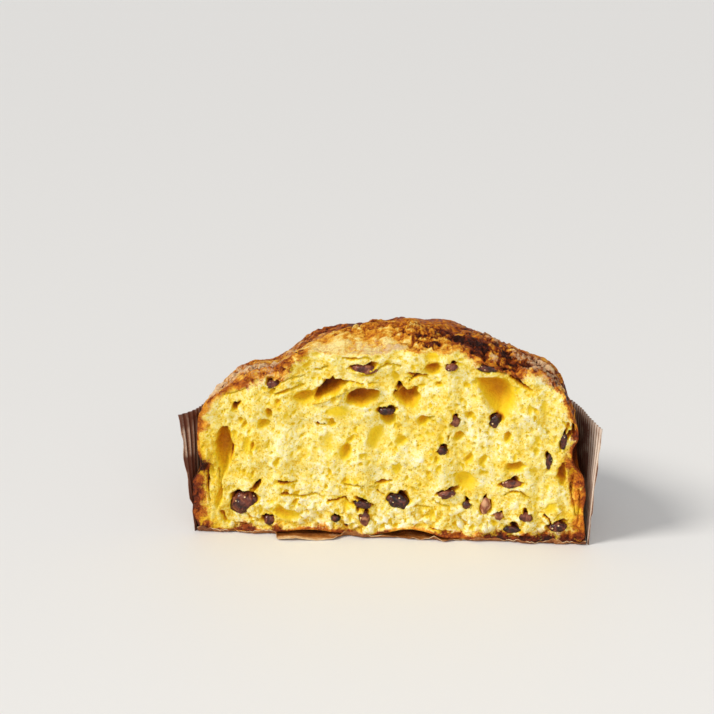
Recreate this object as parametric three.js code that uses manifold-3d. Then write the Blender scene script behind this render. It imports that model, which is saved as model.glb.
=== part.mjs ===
// Half of a low, wide panettone standing in its ribbed paper case, with the cut face to the front.
// Millimetres, +X right, +Y away from the cut face, +Z up.
import * as THREE from "three";
import { mergeVertices } from "three/addons/utils/BufferGeometryUtils.js";
import Module from "manifold-3d";

const wasm = await Module();
wasm.setup();

// The loaf is a round one, cut nearly through its middle.
const loafRadius = 106.5;
const middleBehindCut = 2;
const shoulderHeight = 66;
const domeRise = 53;
const domePower = 2.2;
const domeFullness = 0.75;
const bottomEdgeRadius = 4;
const sideLean = { back: 1.5, left: 2, right: 7 };
const loafSectors = 96;

// The paper case: a corrugated wall that flares out at the two cut ends, and a flat sheet below.
const paperThickness = 0.6;
const caseHeight = 66.5;
const ribPitch = 3.5;
const ribDepth = 0.9;
const caseRadius = 107.6;
const leftFlare = { reach: 20, out: 7.5, lift: 2.4 };
const rightFlare = { reach: 26, out: 4.6, lift: 0.2 };
const sheetRadius = 106.4;
const contactGap = 0.3;
const loafFloor = paperThickness + contactGap;

// The cut face is a little wavy, as a soft crumb is after the knife.
const cutGridStep = 6.2;
const cutWaves = [
  { across: 46, up: 31, phase: 0.4, size: 0.7 },
  { across: 21, up: 27, phase: 2.1, size: 0.5 },
  { across: 15, up: 14, phase: 4.4, size: 0.35 },
];

// Rises and dips of the top crust: place, reach along X and Y, and height.
const crustSwells = [
  { x: -8, y: -2, acrossReach: 34, alongReach: 17, rise: -13.5 },
  { x: 27, y: -2, acrossReach: 13, alongReach: 15, rise: -4 },
  { x: 34, y: 24, acrossReach: 13, alongReach: 12, rise: -2.4 },
  { x: 55, y: -2, acrossReach: 14, alongReach: 15, rise: -8 },
  { x: -28, y: -2, acrossReach: 12, alongReach: 12, rise: -2.5 },
  { x: -62, y: 14, acrossReach: 13, alongReach: 26, rise: -10 },
  { x: -43, y: 18, acrossReach: 12, alongReach: 18, rise: -3 },
  { x: -82, y: -2, acrossReach: 12, alongReach: 16, rise: -5 },
  { x: 87, y: 18, acrossReach: 14, alongReach: 24, rise: 9.5 },
  { x: 58, y: 26, acrossReach: 15, alongReach: 14, rise: 2.2 },
  { x: 8, y: 27, acrossReach: 15, alongReach: 13, rise: 1.8 },
  { x: -14, y: 52, acrossReach: 22, alongReach: 14, rise: -3 },
  { x: 34, y: 62, acrossReach: 17, alongReach: 20, rise: 2.4 },
  { x: -42, y: 66, acrossReach: 18, alongReach: 14, rise: 2.6 },
  { x: -66, y: 52, acrossReach: 13, alongReach: 18, rise: -2.8 },
  { x: 6, y: 88, acrossReach: 20, alongReach: 12, rise: 2.2 },
  { x: 62, y: 70, acrossReach: 12, alongReach: 13, rise: -2.4 },
];
const wrinkleHeight = 0.7;

// The bottom crust arches off the paper in two places at the cut.
const bottomArches = [
  { x: 11, y: 0, acrossReach: 14, alongReach: 20, rise: 4.6 },
  { x: -43, y: 0, acrossReach: 17, alongReach: 15, rise: 2.2 },
];

// Lumps of side crust that stand off the loaf at the cut.
const crustLobes = [
  { x: 100.6, y: 5, z: 33, width: 8, depth: 13, height: 26 },
  { x: -104.5, y: 2, z: 13, width: 5.2, depth: 6, height: 14 },
  { x: -104.9, y: 2, z: 25, width: 6, depth: 6, height: 13 },
];

// Pores of the crumb that are open at the cut: place on the face, size, depth and lean in degrees.
const pores = [
  { x: -91, z: 46, width: 12, height: 34, depth: 9, lean: 4 },
  { x: -38, z: 82.5, width: 33, height: 10, depth: 12, lean: 22 },
  { x: -15.5, z: 80.5, width: 19, height: 11, depth: 8, lean: 6 },
  { x: 8.5, z: 81, width: 14, height: 12.5, depth: 9, lean: -20 },
  { x: 54.5, z: 82, width: 19, height: 22, depth: 8, lean: -14 },
  { x: 66, z: 93, width: 20, height: 2.6, depth: 5, lean: -30 },
  { x: -66.5, z: 69, width: 7, height: 6, depth: 4, lean: 0 },
  { x: -69.5, z: 62, width: 7, height: 5.5, depth: 3.5, lean: 10 },
  { x: -83.5, z: 74, width: 5.5, height: 5, depth: 5, lean: 20 },
  { x: -78, z: 53, width: 4, height: 13, depth: 3.5, lean: -6 },
  { x: 1, z: 66.5, width: 8, height: 5, depth: 5, lean: 0 },
  { x: 18, z: 67.5, width: 9, height: 7, depth: 4.5, lean: 25 },
  { x: 42, z: 72.5, width: 4, height: 5, depth: 3, lean: 0 },
  { x: 73.5, z: 78, width: 3, height: 6, depth: 3, lean: 0 },
  { x: 81.5, z: 77.5, width: 5, height: 7, depth: 3, lean: 10 },
  { x: 22, z: 96, width: 10, height: 6, depth: 5, lean: -8 },
  { x: 26, z: 88.5, width: 5, height: 4, depth: 3, lean: 0 },
  { x: 36, z: 59, width: 6.5, height: 6, depth: 4, lean: 0 },
  { x: -34.5, z: 55.5, width: 6.5, height: 11.5, depth: 4, lean: 8 },
  { x: -24, z: 48.5, width: 9.5, height: 11.5, depth: 5, lean: -8 },
  { x: -9, z: 56.5, width: 7.5, height: 16, depth: 5, lean: -12 },
  { x: 5.5, z: 56, width: 7.5, height: 7, depth: 5, lean: 0 },
  { x: 2.5, z: 40, width: 4.5, height: 7, depth: 3, lean: 0 },
  { x: 41, z: 46.5, width: 5, height: 7, depth: 3, lean: 8 },
  { x: 50.5, z: 47.5, width: 5.5, height: 7, depth: 4, lean: 0 },
  { x: 41, z: 35.5, width: 13, height: 11, depth: 5, lean: -6 },
  { x: 66.5, z: 44, width: 10, height: 6, depth: 5, lean: 0 },
  { x: 62, z: 59, width: 4, height: 7, depth: 3, lean: 0 },
  { x: -57, z: 14.5, width: 13, height: 9.5, depth: 6, lean: -10 },
  { x: -54, z: 23.5, width: 7, height: 3, depth: 4, lean: -6 },
  { x: -4.5, z: 31.5, width: 6.5, height: 4, depth: 4, lean: 0 },
  { x: -31, z: 21, width: 6.5, height: 3, depth: 4, lean: 0 },
  { x: -17, z: 29, width: 17, height: 1.8, depth: 3, lean: -2 },
  { x: 88.5, z: 34, width: 5, height: 10, depth: 5, lean: 8 },
  { x: -71.5, z: 28.5, width: 5, height: 5, depth: 5, lean: -30 },
];

// Raisins that the cut shows: place of the middle, size across and up, lean, and how deep it sits.
const raisins = [
  { x: -81, z: 17, width: 17, height: 12.5, lean: 24, inside: 2 },
  { x: -64, z: 86, width: 8, height: 4.6, lean: 18, inside: 1.2 },
  { x: -14, z: 96.5, width: 14, height: 5.4, lean: -4, inside: 1.6 },
  { x: -2, z: 72.8, width: 10, height: 4.6, lean: 4, inside: 0.8 },
  { x: 34.5, z: 68.5, width: 5.2, height: 6.4, lean: 10, inside: 0.8 },
  { x: 56, z: 69, width: 6.6, height: 8, lean: -16, inside: 1 },
  { x: 28, z: 51.5, width: 5.4, height: 5.6, lean: 0, inside: 0.8 },
  { x: 32, z: 99, width: 7, height: 4.4, lean: 12, inside: 1 },
  { x: 4.5, z: 21, width: 14.5, height: 9.4, lean: -14, inside: 1.4 },
  { x: -15, z: 19.3, width: 9.6, height: 4.4, lean: -8, inside: 1 },
  { x: -14, z: 11, width: 6, height: 9, lean: 10, inside: 1 },
  { x: -30, z: 10, width: 5.2, height: 4, lean: 0, inside: 1 },
  { x: 30.5, z: 26.5, width: 10.4, height: 5, lean: 12, inside: 1 },
  { x: 41.5, z: 20.5, width: 5, height: 5, lean: 0, inside: 0.8 },
  { x: 51.5, z: 20, width: 5.6, height: 10.6, lean: -6, inside: 1 },
  { x: 59, z: 14.5, width: 5, height: 4.8, lean: 0, inside: 1 },
  { x: 65.5, z: 33.5, width: 11, height: 5.6, lean: 8, inside: 1.2 },
  { x: 73.5, z: 15, width: 7.6, height: 5.2, lean: -10, inside: 1 },
  { x: 67, z: 7, width: 10.6, height: 4.4, lean: 0, inside: 1.4 },
  { x: 91, z: 9.5, width: 10.4, height: 6, lean: 8, inside: 1.2 },
  { x: -66.5, z: 7.5, width: 6.4, height: 6, lean: 20, inside: 1.4 },
  { x: 85, z: 47, width: 3.6, height: 9, lean: -6, inside: 0.8 },
  { x: 92.5, z: 58.5, width: 3.8, height: 9.4, lean: -8, inside: 1 },
  { x: 51, z: 98.4, width: 12.4, height: 4.6, lean: -4, inside: 1.4 },
];
const raisinThickness = 0.85;
const raisinWrinkle = 0.07;

const crumbColour = "#ecd064";
const raisinColour = "#43241d";
const paperColour = "#6b4030";

// Gives a repeatable random number from 0 to 1 for each whole number.
function draw(seed) {
  const wave = Math.sin(seed * 127.1 + 311.7) * 43758.5453;
  return wave - Math.floor(wave);
}

function swell(list, x, y) {
  let height = 0;
  for (const one of list) {
    const across = (x - one.x) / one.acrossReach;
    const along = (y - one.y) / one.alongReach;
    height += one.rise * Math.exp(-across * across - along * along);
  }
  return height;
}

// How far the side has drawn in from the case at a height, more on the right of the cut.
function sideDrawIn(angle, z) {
  const up = Math.min(z / shoulderHeight, 1);
  const right = Math.max(Math.cos(angle), 0) ** 2;
  const left = Math.max(-Math.cos(angle), 0) ** 2;
  const back = 1 - right - left;
  return sideLean.right * right * up + sideLean.left * left * up ** 1.5 + sideLean.back * back * up ** 1.5;
}

function wrinkle(x, y) {
  const slow = Math.sin(x / 4.3 + 1.7 * Math.sin(y / 9.1)) * Math.cos(y / 5.2 + 1.3 * Math.sin(x / 11.7));
  const quick = Math.sin(x / 2.9 - y / 3.7 + 0.6);
  return wrinkleHeight * (slow + 0.4 * quick);
}

// Gives a three.js geometry whose neighbouring triangles share their corners.
function joined(geometry) {
  const bare = geometry.clone();
  bare.deleteAttribute("normal");
  bare.deleteAttribute("uv");
  return mergeVertices(bare, 1e-4);
}

function toSolid(geometry) {
  const merged = joined(geometry);
  const corners = merged.index.array;
  const kept = [];
  for (let i = 0; i < corners.length; i += 3) {
    const [a, b, c] = [corners[i], corners[i + 1], corners[i + 2]];
    if (a !== b && b !== c && c !== a) kept.push(a, b, c);
  }
  const mesh = new wasm.Mesh({
    numProp: 3,
    vertProperties: new Float32Array(merged.attributes.position.array),
    triVerts: new Uint32Array(kept),
  });
  return new wasm.Manifold(mesh);
}

function toGeometry(solid) {
  const mesh = solid.getMesh();
  const geometry = new THREE.BufferGeometry();
  geometry.setAttribute("position", new THREE.BufferAttribute(new Float32Array(mesh.vertProperties), 3));
  geometry.setIndex(new THREE.BufferAttribute(new Uint32Array(mesh.triVerts), 1));
  geometry.computeVertexNormals();
  return geometry;
}

function moveEachPoint(geometry, place) {
  const position = geometry.attributes.position;
  const point = new THREE.Vector3();
  for (let i = 0; i < position.count; i += 1) {
    point.fromBufferAttribute(position, i);
    place(point);
    position.setXYZ(i, point.x, point.y, point.z);
  }
  return geometry;
}

// The outline of the whole round loaf from the middle of its bottom to the top of its dome.
function loafProfile() {
  const outline = [];
  const bottomRings = 3;
  const bottomReach = loafRadius - bottomEdgeRadius;
  for (let i = 0; i < bottomRings; i += 1) {
    outline.push(new THREE.Vector2((bottomReach * i) / bottomRings, loafFloor));
  }
  const edgeSteps = 2;
  for (let i = 0; i <= edgeSteps; i += 1) {
    const turn = (Math.PI / 2) * (i / edgeSteps);
    const reach = bottomReach + bottomEdgeRadius * Math.sin(turn);
    outline.push(new THREE.Vector2(reach, loafFloor + bottomEdgeRadius * (1 - Math.cos(turn))));
  }
  const sideSteps = 4;
  const sideStart = loafFloor + bottomEdgeRadius;
  for (let i = 1; i <= sideSteps; i += 1) {
    outline.push(new THREE.Vector2(loafRadius, sideStart + ((shoulderHeight - sideStart) * i) / sideSteps));
  }
  const domeRings = 13;
  for (let i = 1; i <= domeRings; i += 1) {
    const inward = i / domeRings;
    const reach = 1 - inward ** 1.6;
    const rise = (1 - reach ** domePower) ** domeFullness;
    outline.push(new THREE.Vector2(loafRadius * reach, shoulderHeight + domeRise * rise));
  }
  return outline;
}

function wholeLoaf() {
  const geometry = new THREE.LatheGeometry(loafProfile(), loafSectors);
  geometry.rotateX(Math.PI / 2);
  moveEachPoint(geometry, (point) => {
    const angle = Math.atan2(point.y, point.x);
    const reach = Math.hypot(point.x, point.y) / loafRadius;
    const drawIn = sideDrawIn(angle, point.z) * reach;
    point.x -= drawIn * Math.cos(angle);
    point.y -= drawIn * Math.sin(angle);
    point.y += middleBehindCut;
    const onTop = THREE.MathUtils.smoothstep(point.z, shoulderHeight, shoulderHeight + 16);
    const below = 1 - THREE.MathUtils.smoothstep(point.z, loafFloor, 12);
    point.z += onTop * (swell(crustSwells, point.x, point.y) + wrinkle(point.x, point.y));
    point.z += below * swell(bottomArches, point.x, point.y);
  });
  return toSolid(geometry);
}

function cutDepth(x, z) {
  let depth = 0;
  for (const wave of cutWaves) {
    depth += wave.size * Math.sin((2 * Math.PI * x) / wave.across + wave.phase + Math.sin(z / wave.up));
    depth += wave.size * 0.6 * Math.cos((2 * Math.PI * z) / wave.up + 2 * wave.phase);
  }
  return depth;
}

// The half that is taken away, with its wavy face towards the loaf.
function frontHalf() {
  const width = 250;
  const depth = 130;
  const height = 130;
  const columns = Math.round(width / cutGridStep);
  const rows = Math.round(height / cutGridStep);
  const geometry = new THREE.BoxGeometry(width, depth, height, columns, 1, rows);
  geometry.translate(0, -depth / 2, height / 2 - 5);
  moveEachPoint(geometry, (point) => {
    if (point.y > -1) point.y = cutDepth(point.x, point.z);
  });
  return toSolid(geometry);
}

// A round hollow of a pore, with its opening on the cut face.
function poreHollow(pore) {
  const large = pore.width * pore.height > 90;
  const geometry = large ? new THREE.SphereGeometry(1, 12, 7) : new THREE.SphereGeometry(1, 7, 4);
  geometry.scale(pore.width / 2, pore.depth, pore.height / 2);
  geometry.rotateY(THREE.MathUtils.degToRad(-pore.lean));
  geometry.translate(pore.x, cutDepth(pore.x, pore.z), pore.z);
  return toSolid(geometry);
}

// A raisin, or with room round it the pocket that the raisin sits in.
function raisinGeometry(raisin, seed, room) {
  const geometry = joined(new THREE.IcosahedronGeometry(1, 1));
  moveEachPoint(geometry, (point) => {
    const turn = Math.atan2(point.z, point.x);
    const fold = Math.sin(3 * turn + 6.28 * draw(seed)) + Math.sin(4 * point.y + 6.28 * draw(seed + 40));
    point.multiplyScalar(1 + raisinWrinkle * fold);
  });
  const thickness = raisinThickness * Math.min(raisin.width, raisin.height);
  geometry.scale(raisin.width / 2 + room, thickness / 2 + room, raisin.height / 2 + room);
  geometry.rotateY(THREE.MathUtils.degToRad(-raisin.lean));
  geometry.translate(raisin.x, cutDepth(raisin.x, raisin.z) + raisin.inside, raisin.z);
  geometry.computeVertexNormals();
  return geometry;
}

function lobeSolid(lobe) {
  const geometry = new THREE.SphereGeometry(1, 10, 8);
  geometry.scale(lobe.width / 2, lobe.depth / 2, lobe.height / 2);
  geometry.translate(lobe.x, lobe.y, lobe.z);
  return toSolid(geometry);
}

function largestPiece(solid) {
  const pieces = solid.decompose();
  return pieces.reduce((best, piece) => (piece.volume() > best.volume() ? piece : best));
}

function loaf() {
  let solid = wholeLoaf();
  for (const lobe of crustLobes) solid = solid.add(lobeSolid(lobe));
  solid = solid.subtract(frontHalf());
  for (const pore of pores) solid = solid.subtract(poreHollow(pore));
  const pocketRoom = contactGap + 0.1;
  raisins.forEach((raisin, i) => {
    solid = solid.subtract(toSolid(raisinGeometry(raisin, i, pocketRoom)));
  });
  const material = new THREE.MeshStandardMaterial({ color: crumbColour, roughness: 0.85, metalness: 0 });
  const mesh = new THREE.Mesh(toGeometry(largestPiece(solid)), material);
  mesh.name = "loaf";
  return mesh;
}

// How much of a cut end's flare a point of the wall has, from its distance to that end.
function flareShare(flare, fromEnd, z) {
  const near = Math.max(1 - fromEnd / flare.reach, 0);
  return near * near * (z / caseHeight);
}

// A straight corrugated strip, bent round the loaf.
function caseWall() {
  const startAngle = -Math.asin(middleBehindCut / caseRadius);
  const sweep = Math.PI - 2 * startAngle;
  const length = sweep * caseRadius;
  const ribs = Math.round(length / ribPitch);
  const steps = 2 * ribs;
  const geometry = new THREE.BoxGeometry(length, paperThickness, caseHeight, steps, 1, 1);
  geometry.translate(length / 2, 0, caseHeight / 2);
  moveEachPoint(geometry, (point) => {
    const along = point.x;
    const ridge = Math.round((along / length) * steps) % 2 === 0 ? 0.5 : -0.5;
    const right = flareShare(rightFlare, along, point.z);
    const left = flareShare(leftFlare, length - along, point.z);
    const angle = startAngle + along / caseRadius;
    const out = right * rightFlare.out + left * leftFlare.out;
    const reach = caseRadius + ridge * ribDepth - point.y + out;
    point.x = reach * Math.cos(angle);
    point.y = middleBehindCut + reach * Math.sin(angle);
    point.z += right * rightFlare.lift + left * leftFlare.lift;
  });
  const material = new THREE.MeshStandardMaterial({ color: paperColour, roughness: 0.8, metalness: 0 });
  const mesh = new THREE.Mesh(geometry, material);
  mesh.name = "case_wall";
  return mesh;
}

// The sheet under the loaf, torn unevenly along the cut, with a flap that comes out in front.
function caseSheet() {
  const halfChord = Math.sqrt(sheetRadius ** 2 - middleBehindCut ** 2);
  const startAngle = -Math.asin(middleBehindCut / sheetRadius);
  const outline = new THREE.Shape();
  outline.moveTo(-halfChord, 0);
  outline.lineTo(-63, -0.6);
  outline.quadraticCurveTo(-58, -7.5, -46, -8);
  outline.quadraticCurveTo(-33, -8.4, -25, -2);
  outline.lineTo(6, -1.4);
  outline.quadraticCurveTo(46, 0.4, 70, -1.6);
  outline.lineTo(halfChord, 0);
  outline.absarc(0, middleBehindCut, sheetRadius, startAngle, Math.PI - startAngle, false);
  const geometry = new THREE.ExtrudeGeometry(outline, {
    depth: paperThickness,
    bevelEnabled: false,
    curveSegments: 24,
  });
  const material = new THREE.MeshStandardMaterial({ color: paperColour, roughness: 0.85, metalness: 0 });
  const mesh = new THREE.Mesh(geometry, material);
  mesh.name = "case_sheet";
  return mesh;
}

function raisinMesh(raisin, i) {
  const material = new THREE.MeshStandardMaterial({ color: raisinColour, roughness: 0.4, metalness: 0 });
  const mesh = new THREE.Mesh(raisinGeometry(raisin, i, 0), material);
  mesh.name = `raisin_${String(i + 1).padStart(2, "0")}`;
  return mesh;
}

const panettone = new THREE.Group();
panettone.add(loaf(), caseWall(), caseSheet());
raisins.forEach((raisin, i) => panettone.add(raisinMesh(raisin, i)));

// The origin is the middle of the footprint, on the surface that the half stands on.
const extent = new THREE.Box3().setFromObject(panettone);
const middle = extent.getCenter(new THREE.Vector3());
panettone.position.set(-middle.x, -middle.y, -extent.min.z);

const half = new THREE.Group();
half.add(panettone);

export default half;
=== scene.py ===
import functools
import itertools
import math

import bpy
import numpy as np
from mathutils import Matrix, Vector, kdtree


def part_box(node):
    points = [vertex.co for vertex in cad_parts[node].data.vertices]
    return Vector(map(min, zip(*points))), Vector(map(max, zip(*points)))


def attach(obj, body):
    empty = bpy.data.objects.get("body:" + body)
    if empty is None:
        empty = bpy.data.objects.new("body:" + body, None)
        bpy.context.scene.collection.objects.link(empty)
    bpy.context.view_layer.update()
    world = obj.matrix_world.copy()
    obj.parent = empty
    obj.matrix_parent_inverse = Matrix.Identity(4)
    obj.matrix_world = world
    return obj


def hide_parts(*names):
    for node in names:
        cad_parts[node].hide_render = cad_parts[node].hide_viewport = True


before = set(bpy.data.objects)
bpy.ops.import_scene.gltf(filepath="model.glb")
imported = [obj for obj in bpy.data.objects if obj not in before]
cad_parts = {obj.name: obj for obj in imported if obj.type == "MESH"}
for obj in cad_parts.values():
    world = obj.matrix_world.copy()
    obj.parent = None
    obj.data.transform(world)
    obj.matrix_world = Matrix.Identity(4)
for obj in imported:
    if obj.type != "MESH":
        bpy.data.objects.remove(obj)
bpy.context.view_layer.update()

print("frame loaded")

# sizes below are in mm on the cut: x to the right, y into the loaf, z up
loafPlan = {
    "radius": 106.5, "middleBehindCut": 2.0, "shoulder": 66.0, "rise": 53.0, "power": 2.2, "fullness": 0.75,
    "floor": 0.9, "edgeRound": 4.0, "leanBack": 1.5, "leanLeft": 2.0, "leanRight": 7.0,
}
casePlan = {
    "radius": 107.6, "height": 66.5, "ribDepth": 0.9, "ribPitch": 3.5, "thickness": 0.6, "sheetRadius": 106.4,
    "left": {"reach": 20, "out": 8.2, "lift": 1.2}, "right": {"reach": 26, "out": 4.6, "lift": 0.2},
}

# where the middle of the cut stands in the frame
sheetLow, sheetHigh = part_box("case_sheet")
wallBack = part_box("case_wall")[1][1]
wallHalf = (casePlan["ribDepth"] + casePlan["thickness"]) / 2
wallOutside = loafPlan["middleBehindCut"] + casePlan["radius"] + wallHalf
cutPlace = np.array([(sheetLow[0] + sheetHigh[0]) * 500, wallBack * 1000 - wallOutside, 0.0])


def toFrame(points):
    return (np.asarray(points, dtype=float) + cutPlace) / 1000


# noise and small shaping helpers

# one steady value from -1 to 1 for each cell
def latticeValue(cell, seed):
    mixed = (cell[:, 0] * 73856093) ^ (cell[:, 1] * 19349663) ^ (cell[:, 2] * 83492791) ^ (seed * 9176263)
    mixed = (mixed ^ (mixed >> 13)) * 1274126177
    mixed = mixed ^ (mixed >> 16)
    return (mixed & 65535) / 32767.5 - 1


def softNoise(points, size, seed, octaves=1):
    total = np.zeros(len(points))
    gain, gainSum = 1.0, 0.0
    for octave in range(octaves):
        scaled = points / (size / 2 ** octave) + seed * 7.31 + octave * 19.7
        cell = np.floor(scaled).astype(np.int64)
        part = scaled - cell
        part = part ** 3 * (part * (part * 6 - 15) + 10)
        for corner in itertools.product((0, 1), repeat=3):
            weight = np.ones(len(points))
            for axis in range(3):
                weight *= part[:, axis] if corner[axis] else 1 - part[:, axis]
            total += gain * weight * latticeValue(cell + np.array(corner), seed + octave)
        gainSum += gain
        gain *= 0.5
    return total / gainSum


# plates of uneven size: how far in from the plate's edge, and a height of its own for each
def plateNoise(points, size, seed):
    scaled = points / size
    base = np.floor(scaled).astype(np.int64)
    near, second, height = np.full(len(points), 9.0), np.full(len(points), 9.0), np.zeros(len(points))
    for corner in itertools.product((-1, 0, 1), repeat=3):
        cell = base + np.array(corner)
        jitter = np.stack([latticeValue(cell, seed + axis) for axis in range(3)], 1)
        far = np.linalg.norm(scaled - cell - 0.5 - 0.45 * jitter, axis=1)
        closer = far < near
        second = np.where(closer, near, np.minimum(second, far))
        height = np.where(closer, latticeValue(cell, seed + 3), height)
        near = np.where(closer, far, near)
    return second - near, height


def ramp(low, high, value):
    share = np.clip((value - low) / (high - low), 0, 1)
    return share * share * (3 - 2 * share)


def swell(swells, x, y):
    height = np.zeros_like(x)
    for one in swells:
        across = (x - one["x"]) / one["across"]
        along = (y - one["y"]) / one["along"]
        height += one["rise"] * np.exp(-across ** 2 - along ** 2)
    return height


# one dictionary for each row; a row may leave out its last values
def rowsOf(names, *rows):
    return [dict(zip(names.split(), row)) for row in rows]


# materials

def linear(hexColour):
    channels = [int(hexColour[i:i + 2], 16) / 255 for i in (1, 3, 5)]
    return [c / 12.92 if c <= 0.04045 else ((c + 0.055) / 1.055) ** 2.4 for c in channels] + [1.0]


# adds a node, sets or links its inputs and gives back one output; a list of inputs fills the first ones, which
# for Map Range are the value, the range it comes from and the range it goes to
def addNode(tree, kind, inputs=(), out=0, stops=(), **settings):
    made = tree.nodes.new("ShaderNode" + kind)
    for name, value in settings.items():
        setattr(made, name, value)
    for name, value in inputs.items() if isinstance(inputs, dict) else enumerate(inputs):
        if isinstance(value, bpy.types.NodeSocket):
            tree.links.new(value, made.inputs[name])
        else:
            made.inputs[name].default_value = value
    if stops:
        elements = made.color_ramp.elements
        while len(elements) < len(stops):
            elements.new(0.5)
        for element, (place, colour) in zip(elements, stops):
            element.position, element.color = place, linear(colour)
    return made.outputs[out]


# look takes a function that adds nodes and the place on the piece, and returns the shader's inputs
def newMaterial(name, look):
    material = bpy.data.materials.new(name)
    material.use_nodes = True
    tree = material.node_tree
    tree.nodes.clear()
    output = tree.nodes.new("ShaderNodeOutputMaterial")
    add = functools.partial(addNode, tree)
    shader = add("BsdfPrincipled", look(add, add("TexCoord", out="Object")), "BSDF")
    tree.links.new(shader, output.inputs["Surface"])
    return material


# most of a noise texture's values lie in here
noiseSpan = (0.3, 0.7)
crustLook = {
    "stops": [(0.0, "#F9E192"), (0.14, "#F5C656"), (0.28, "#E49A26"), (0.42, "#C87418"), (0.56, "#A24E10"),
              (0.7, "#7A2F08"), (0.84, "#501A05"), (1.0, "#2C0E04")],
    "dust": [(0.4, "#C88A56"), (0.85, "#EBC69C")],
    "blotchMm": 7.0, "grainMm": 1.6, "plateMm": 5.4, "chipMm": 1.7, "bendMm": 4.5,
}


# the baked skin's colour from its tone, with blotches, plates and grain, and painted shade in the seams between
# plates; the crumb's rind uses it too
def crustColour(add, place):
    look = crustLook
    tone, dust, crag = (add("Attribute", out="Fac", attribute_name=name) for name in ("tone", "dust", "crag"))
    blotch = add("TexNoise", {"Vector": place, "Scale": 1000 / look["blotchMm"], "Detail": 5, "Roughness": 0.62})
    grain = add("TexNoise", {"Vector": place, "Scale": 1000 / look["grainMm"], "Detail": 4, "Roughness": 0.68})
    offset = add("VectorMath", [grain.node.outputs["Color"], [look["bendMm"] / 1000] * 3], operation="MULTIPLY")
    bent = add("VectorMath", [place, offset], operation="ADD")
    plates = add("TexVoronoi", {"Vector": bent, "Scale": 1000 / look["plateMm"]}, "Color")
    seams = add("TexVoronoi", {"Vector": bent, "Scale": 1000 / look["plateMm"]}, feature="DISTANCE_TO_EDGE")
    chips = add("TexVoronoi", {"Vector": bent, "Scale": 1000 / look["chipMm"]}, "Color")
    broken = add("MapRange", [add("SeparateColor", [plates]), 0, 1, -0.18, 0.12])
    # chips of random tone, and browner seams between plates: painted shade in the cracks
    for part in ([add("SeparateColor", [chips]), 0, 1, -0.12, 0.1], [seams, 0, 0.1, 0.24, 0]):
        broken = add("Math", [broken, add("MapRange", part)], operation="ADD")
    broken = add("Math", [broken, crag], operation="MULTIPLY")
    baked = tone
    for part in ([blotch, *noiseSpan, -0.08, 0.08], [grain, *noiseSpan, -0.1, 0.1]):
        baked = add("Math", [baked, add("MapRange", part)], operation="ADD")
    baked = add("Math", [baked, broken], operation="ADD")
    colour = add("ValToRGB", [baked], stops=look["stops"])
    sprinkle = add("MapRange", [grain, 0.36, 0.64, -0.26, 0.26])
    patchy = add("Math", [dust, sprinkle], operation="ADD")
    share = add("MapRange", [patchy, 0.3, 0.7, 0, 0.85])
    powder = add("ValToRGB", [patchy], stops=look["dust"])
    dusted = add("Mix", {0: share, 6: colour, 7: powder}, 2, data_type="RGBA")
    return dusted, baked, add("Math", [grain, broken], operation="SUBTRACT")


# base stops run from golden, in hollows and painted shade, to cream on raised crumbs in painted light; pore stops
# are painted shade in the pores, yellow to near black
crumbLook = {
    "stops": [(0.0, "#E0AC1A"), (0.22, "#EEC83C"), (0.45, "#F6DF76"), (0.68, "#FBEDAE"), (0.88, "#FEF5CE"),
              (1.0, "#FFF9E0")],
    "pore": [(0.0, "#F5DA48"), (0.3, "#EDC81E"), (0.5, "#DB9E0C"), (0.66, "#B66804"), (0.82, "#7A3804"),
             (0.94, "#301105"), (1.0, "#140604")],
    "pinholeShade": "#7A6218", "cloudMm": 15.0, "mottleMm": 4.5, "fibreMm": 1.2, "cellMm": 1.3, "holeMm": 1.5,
}
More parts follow.
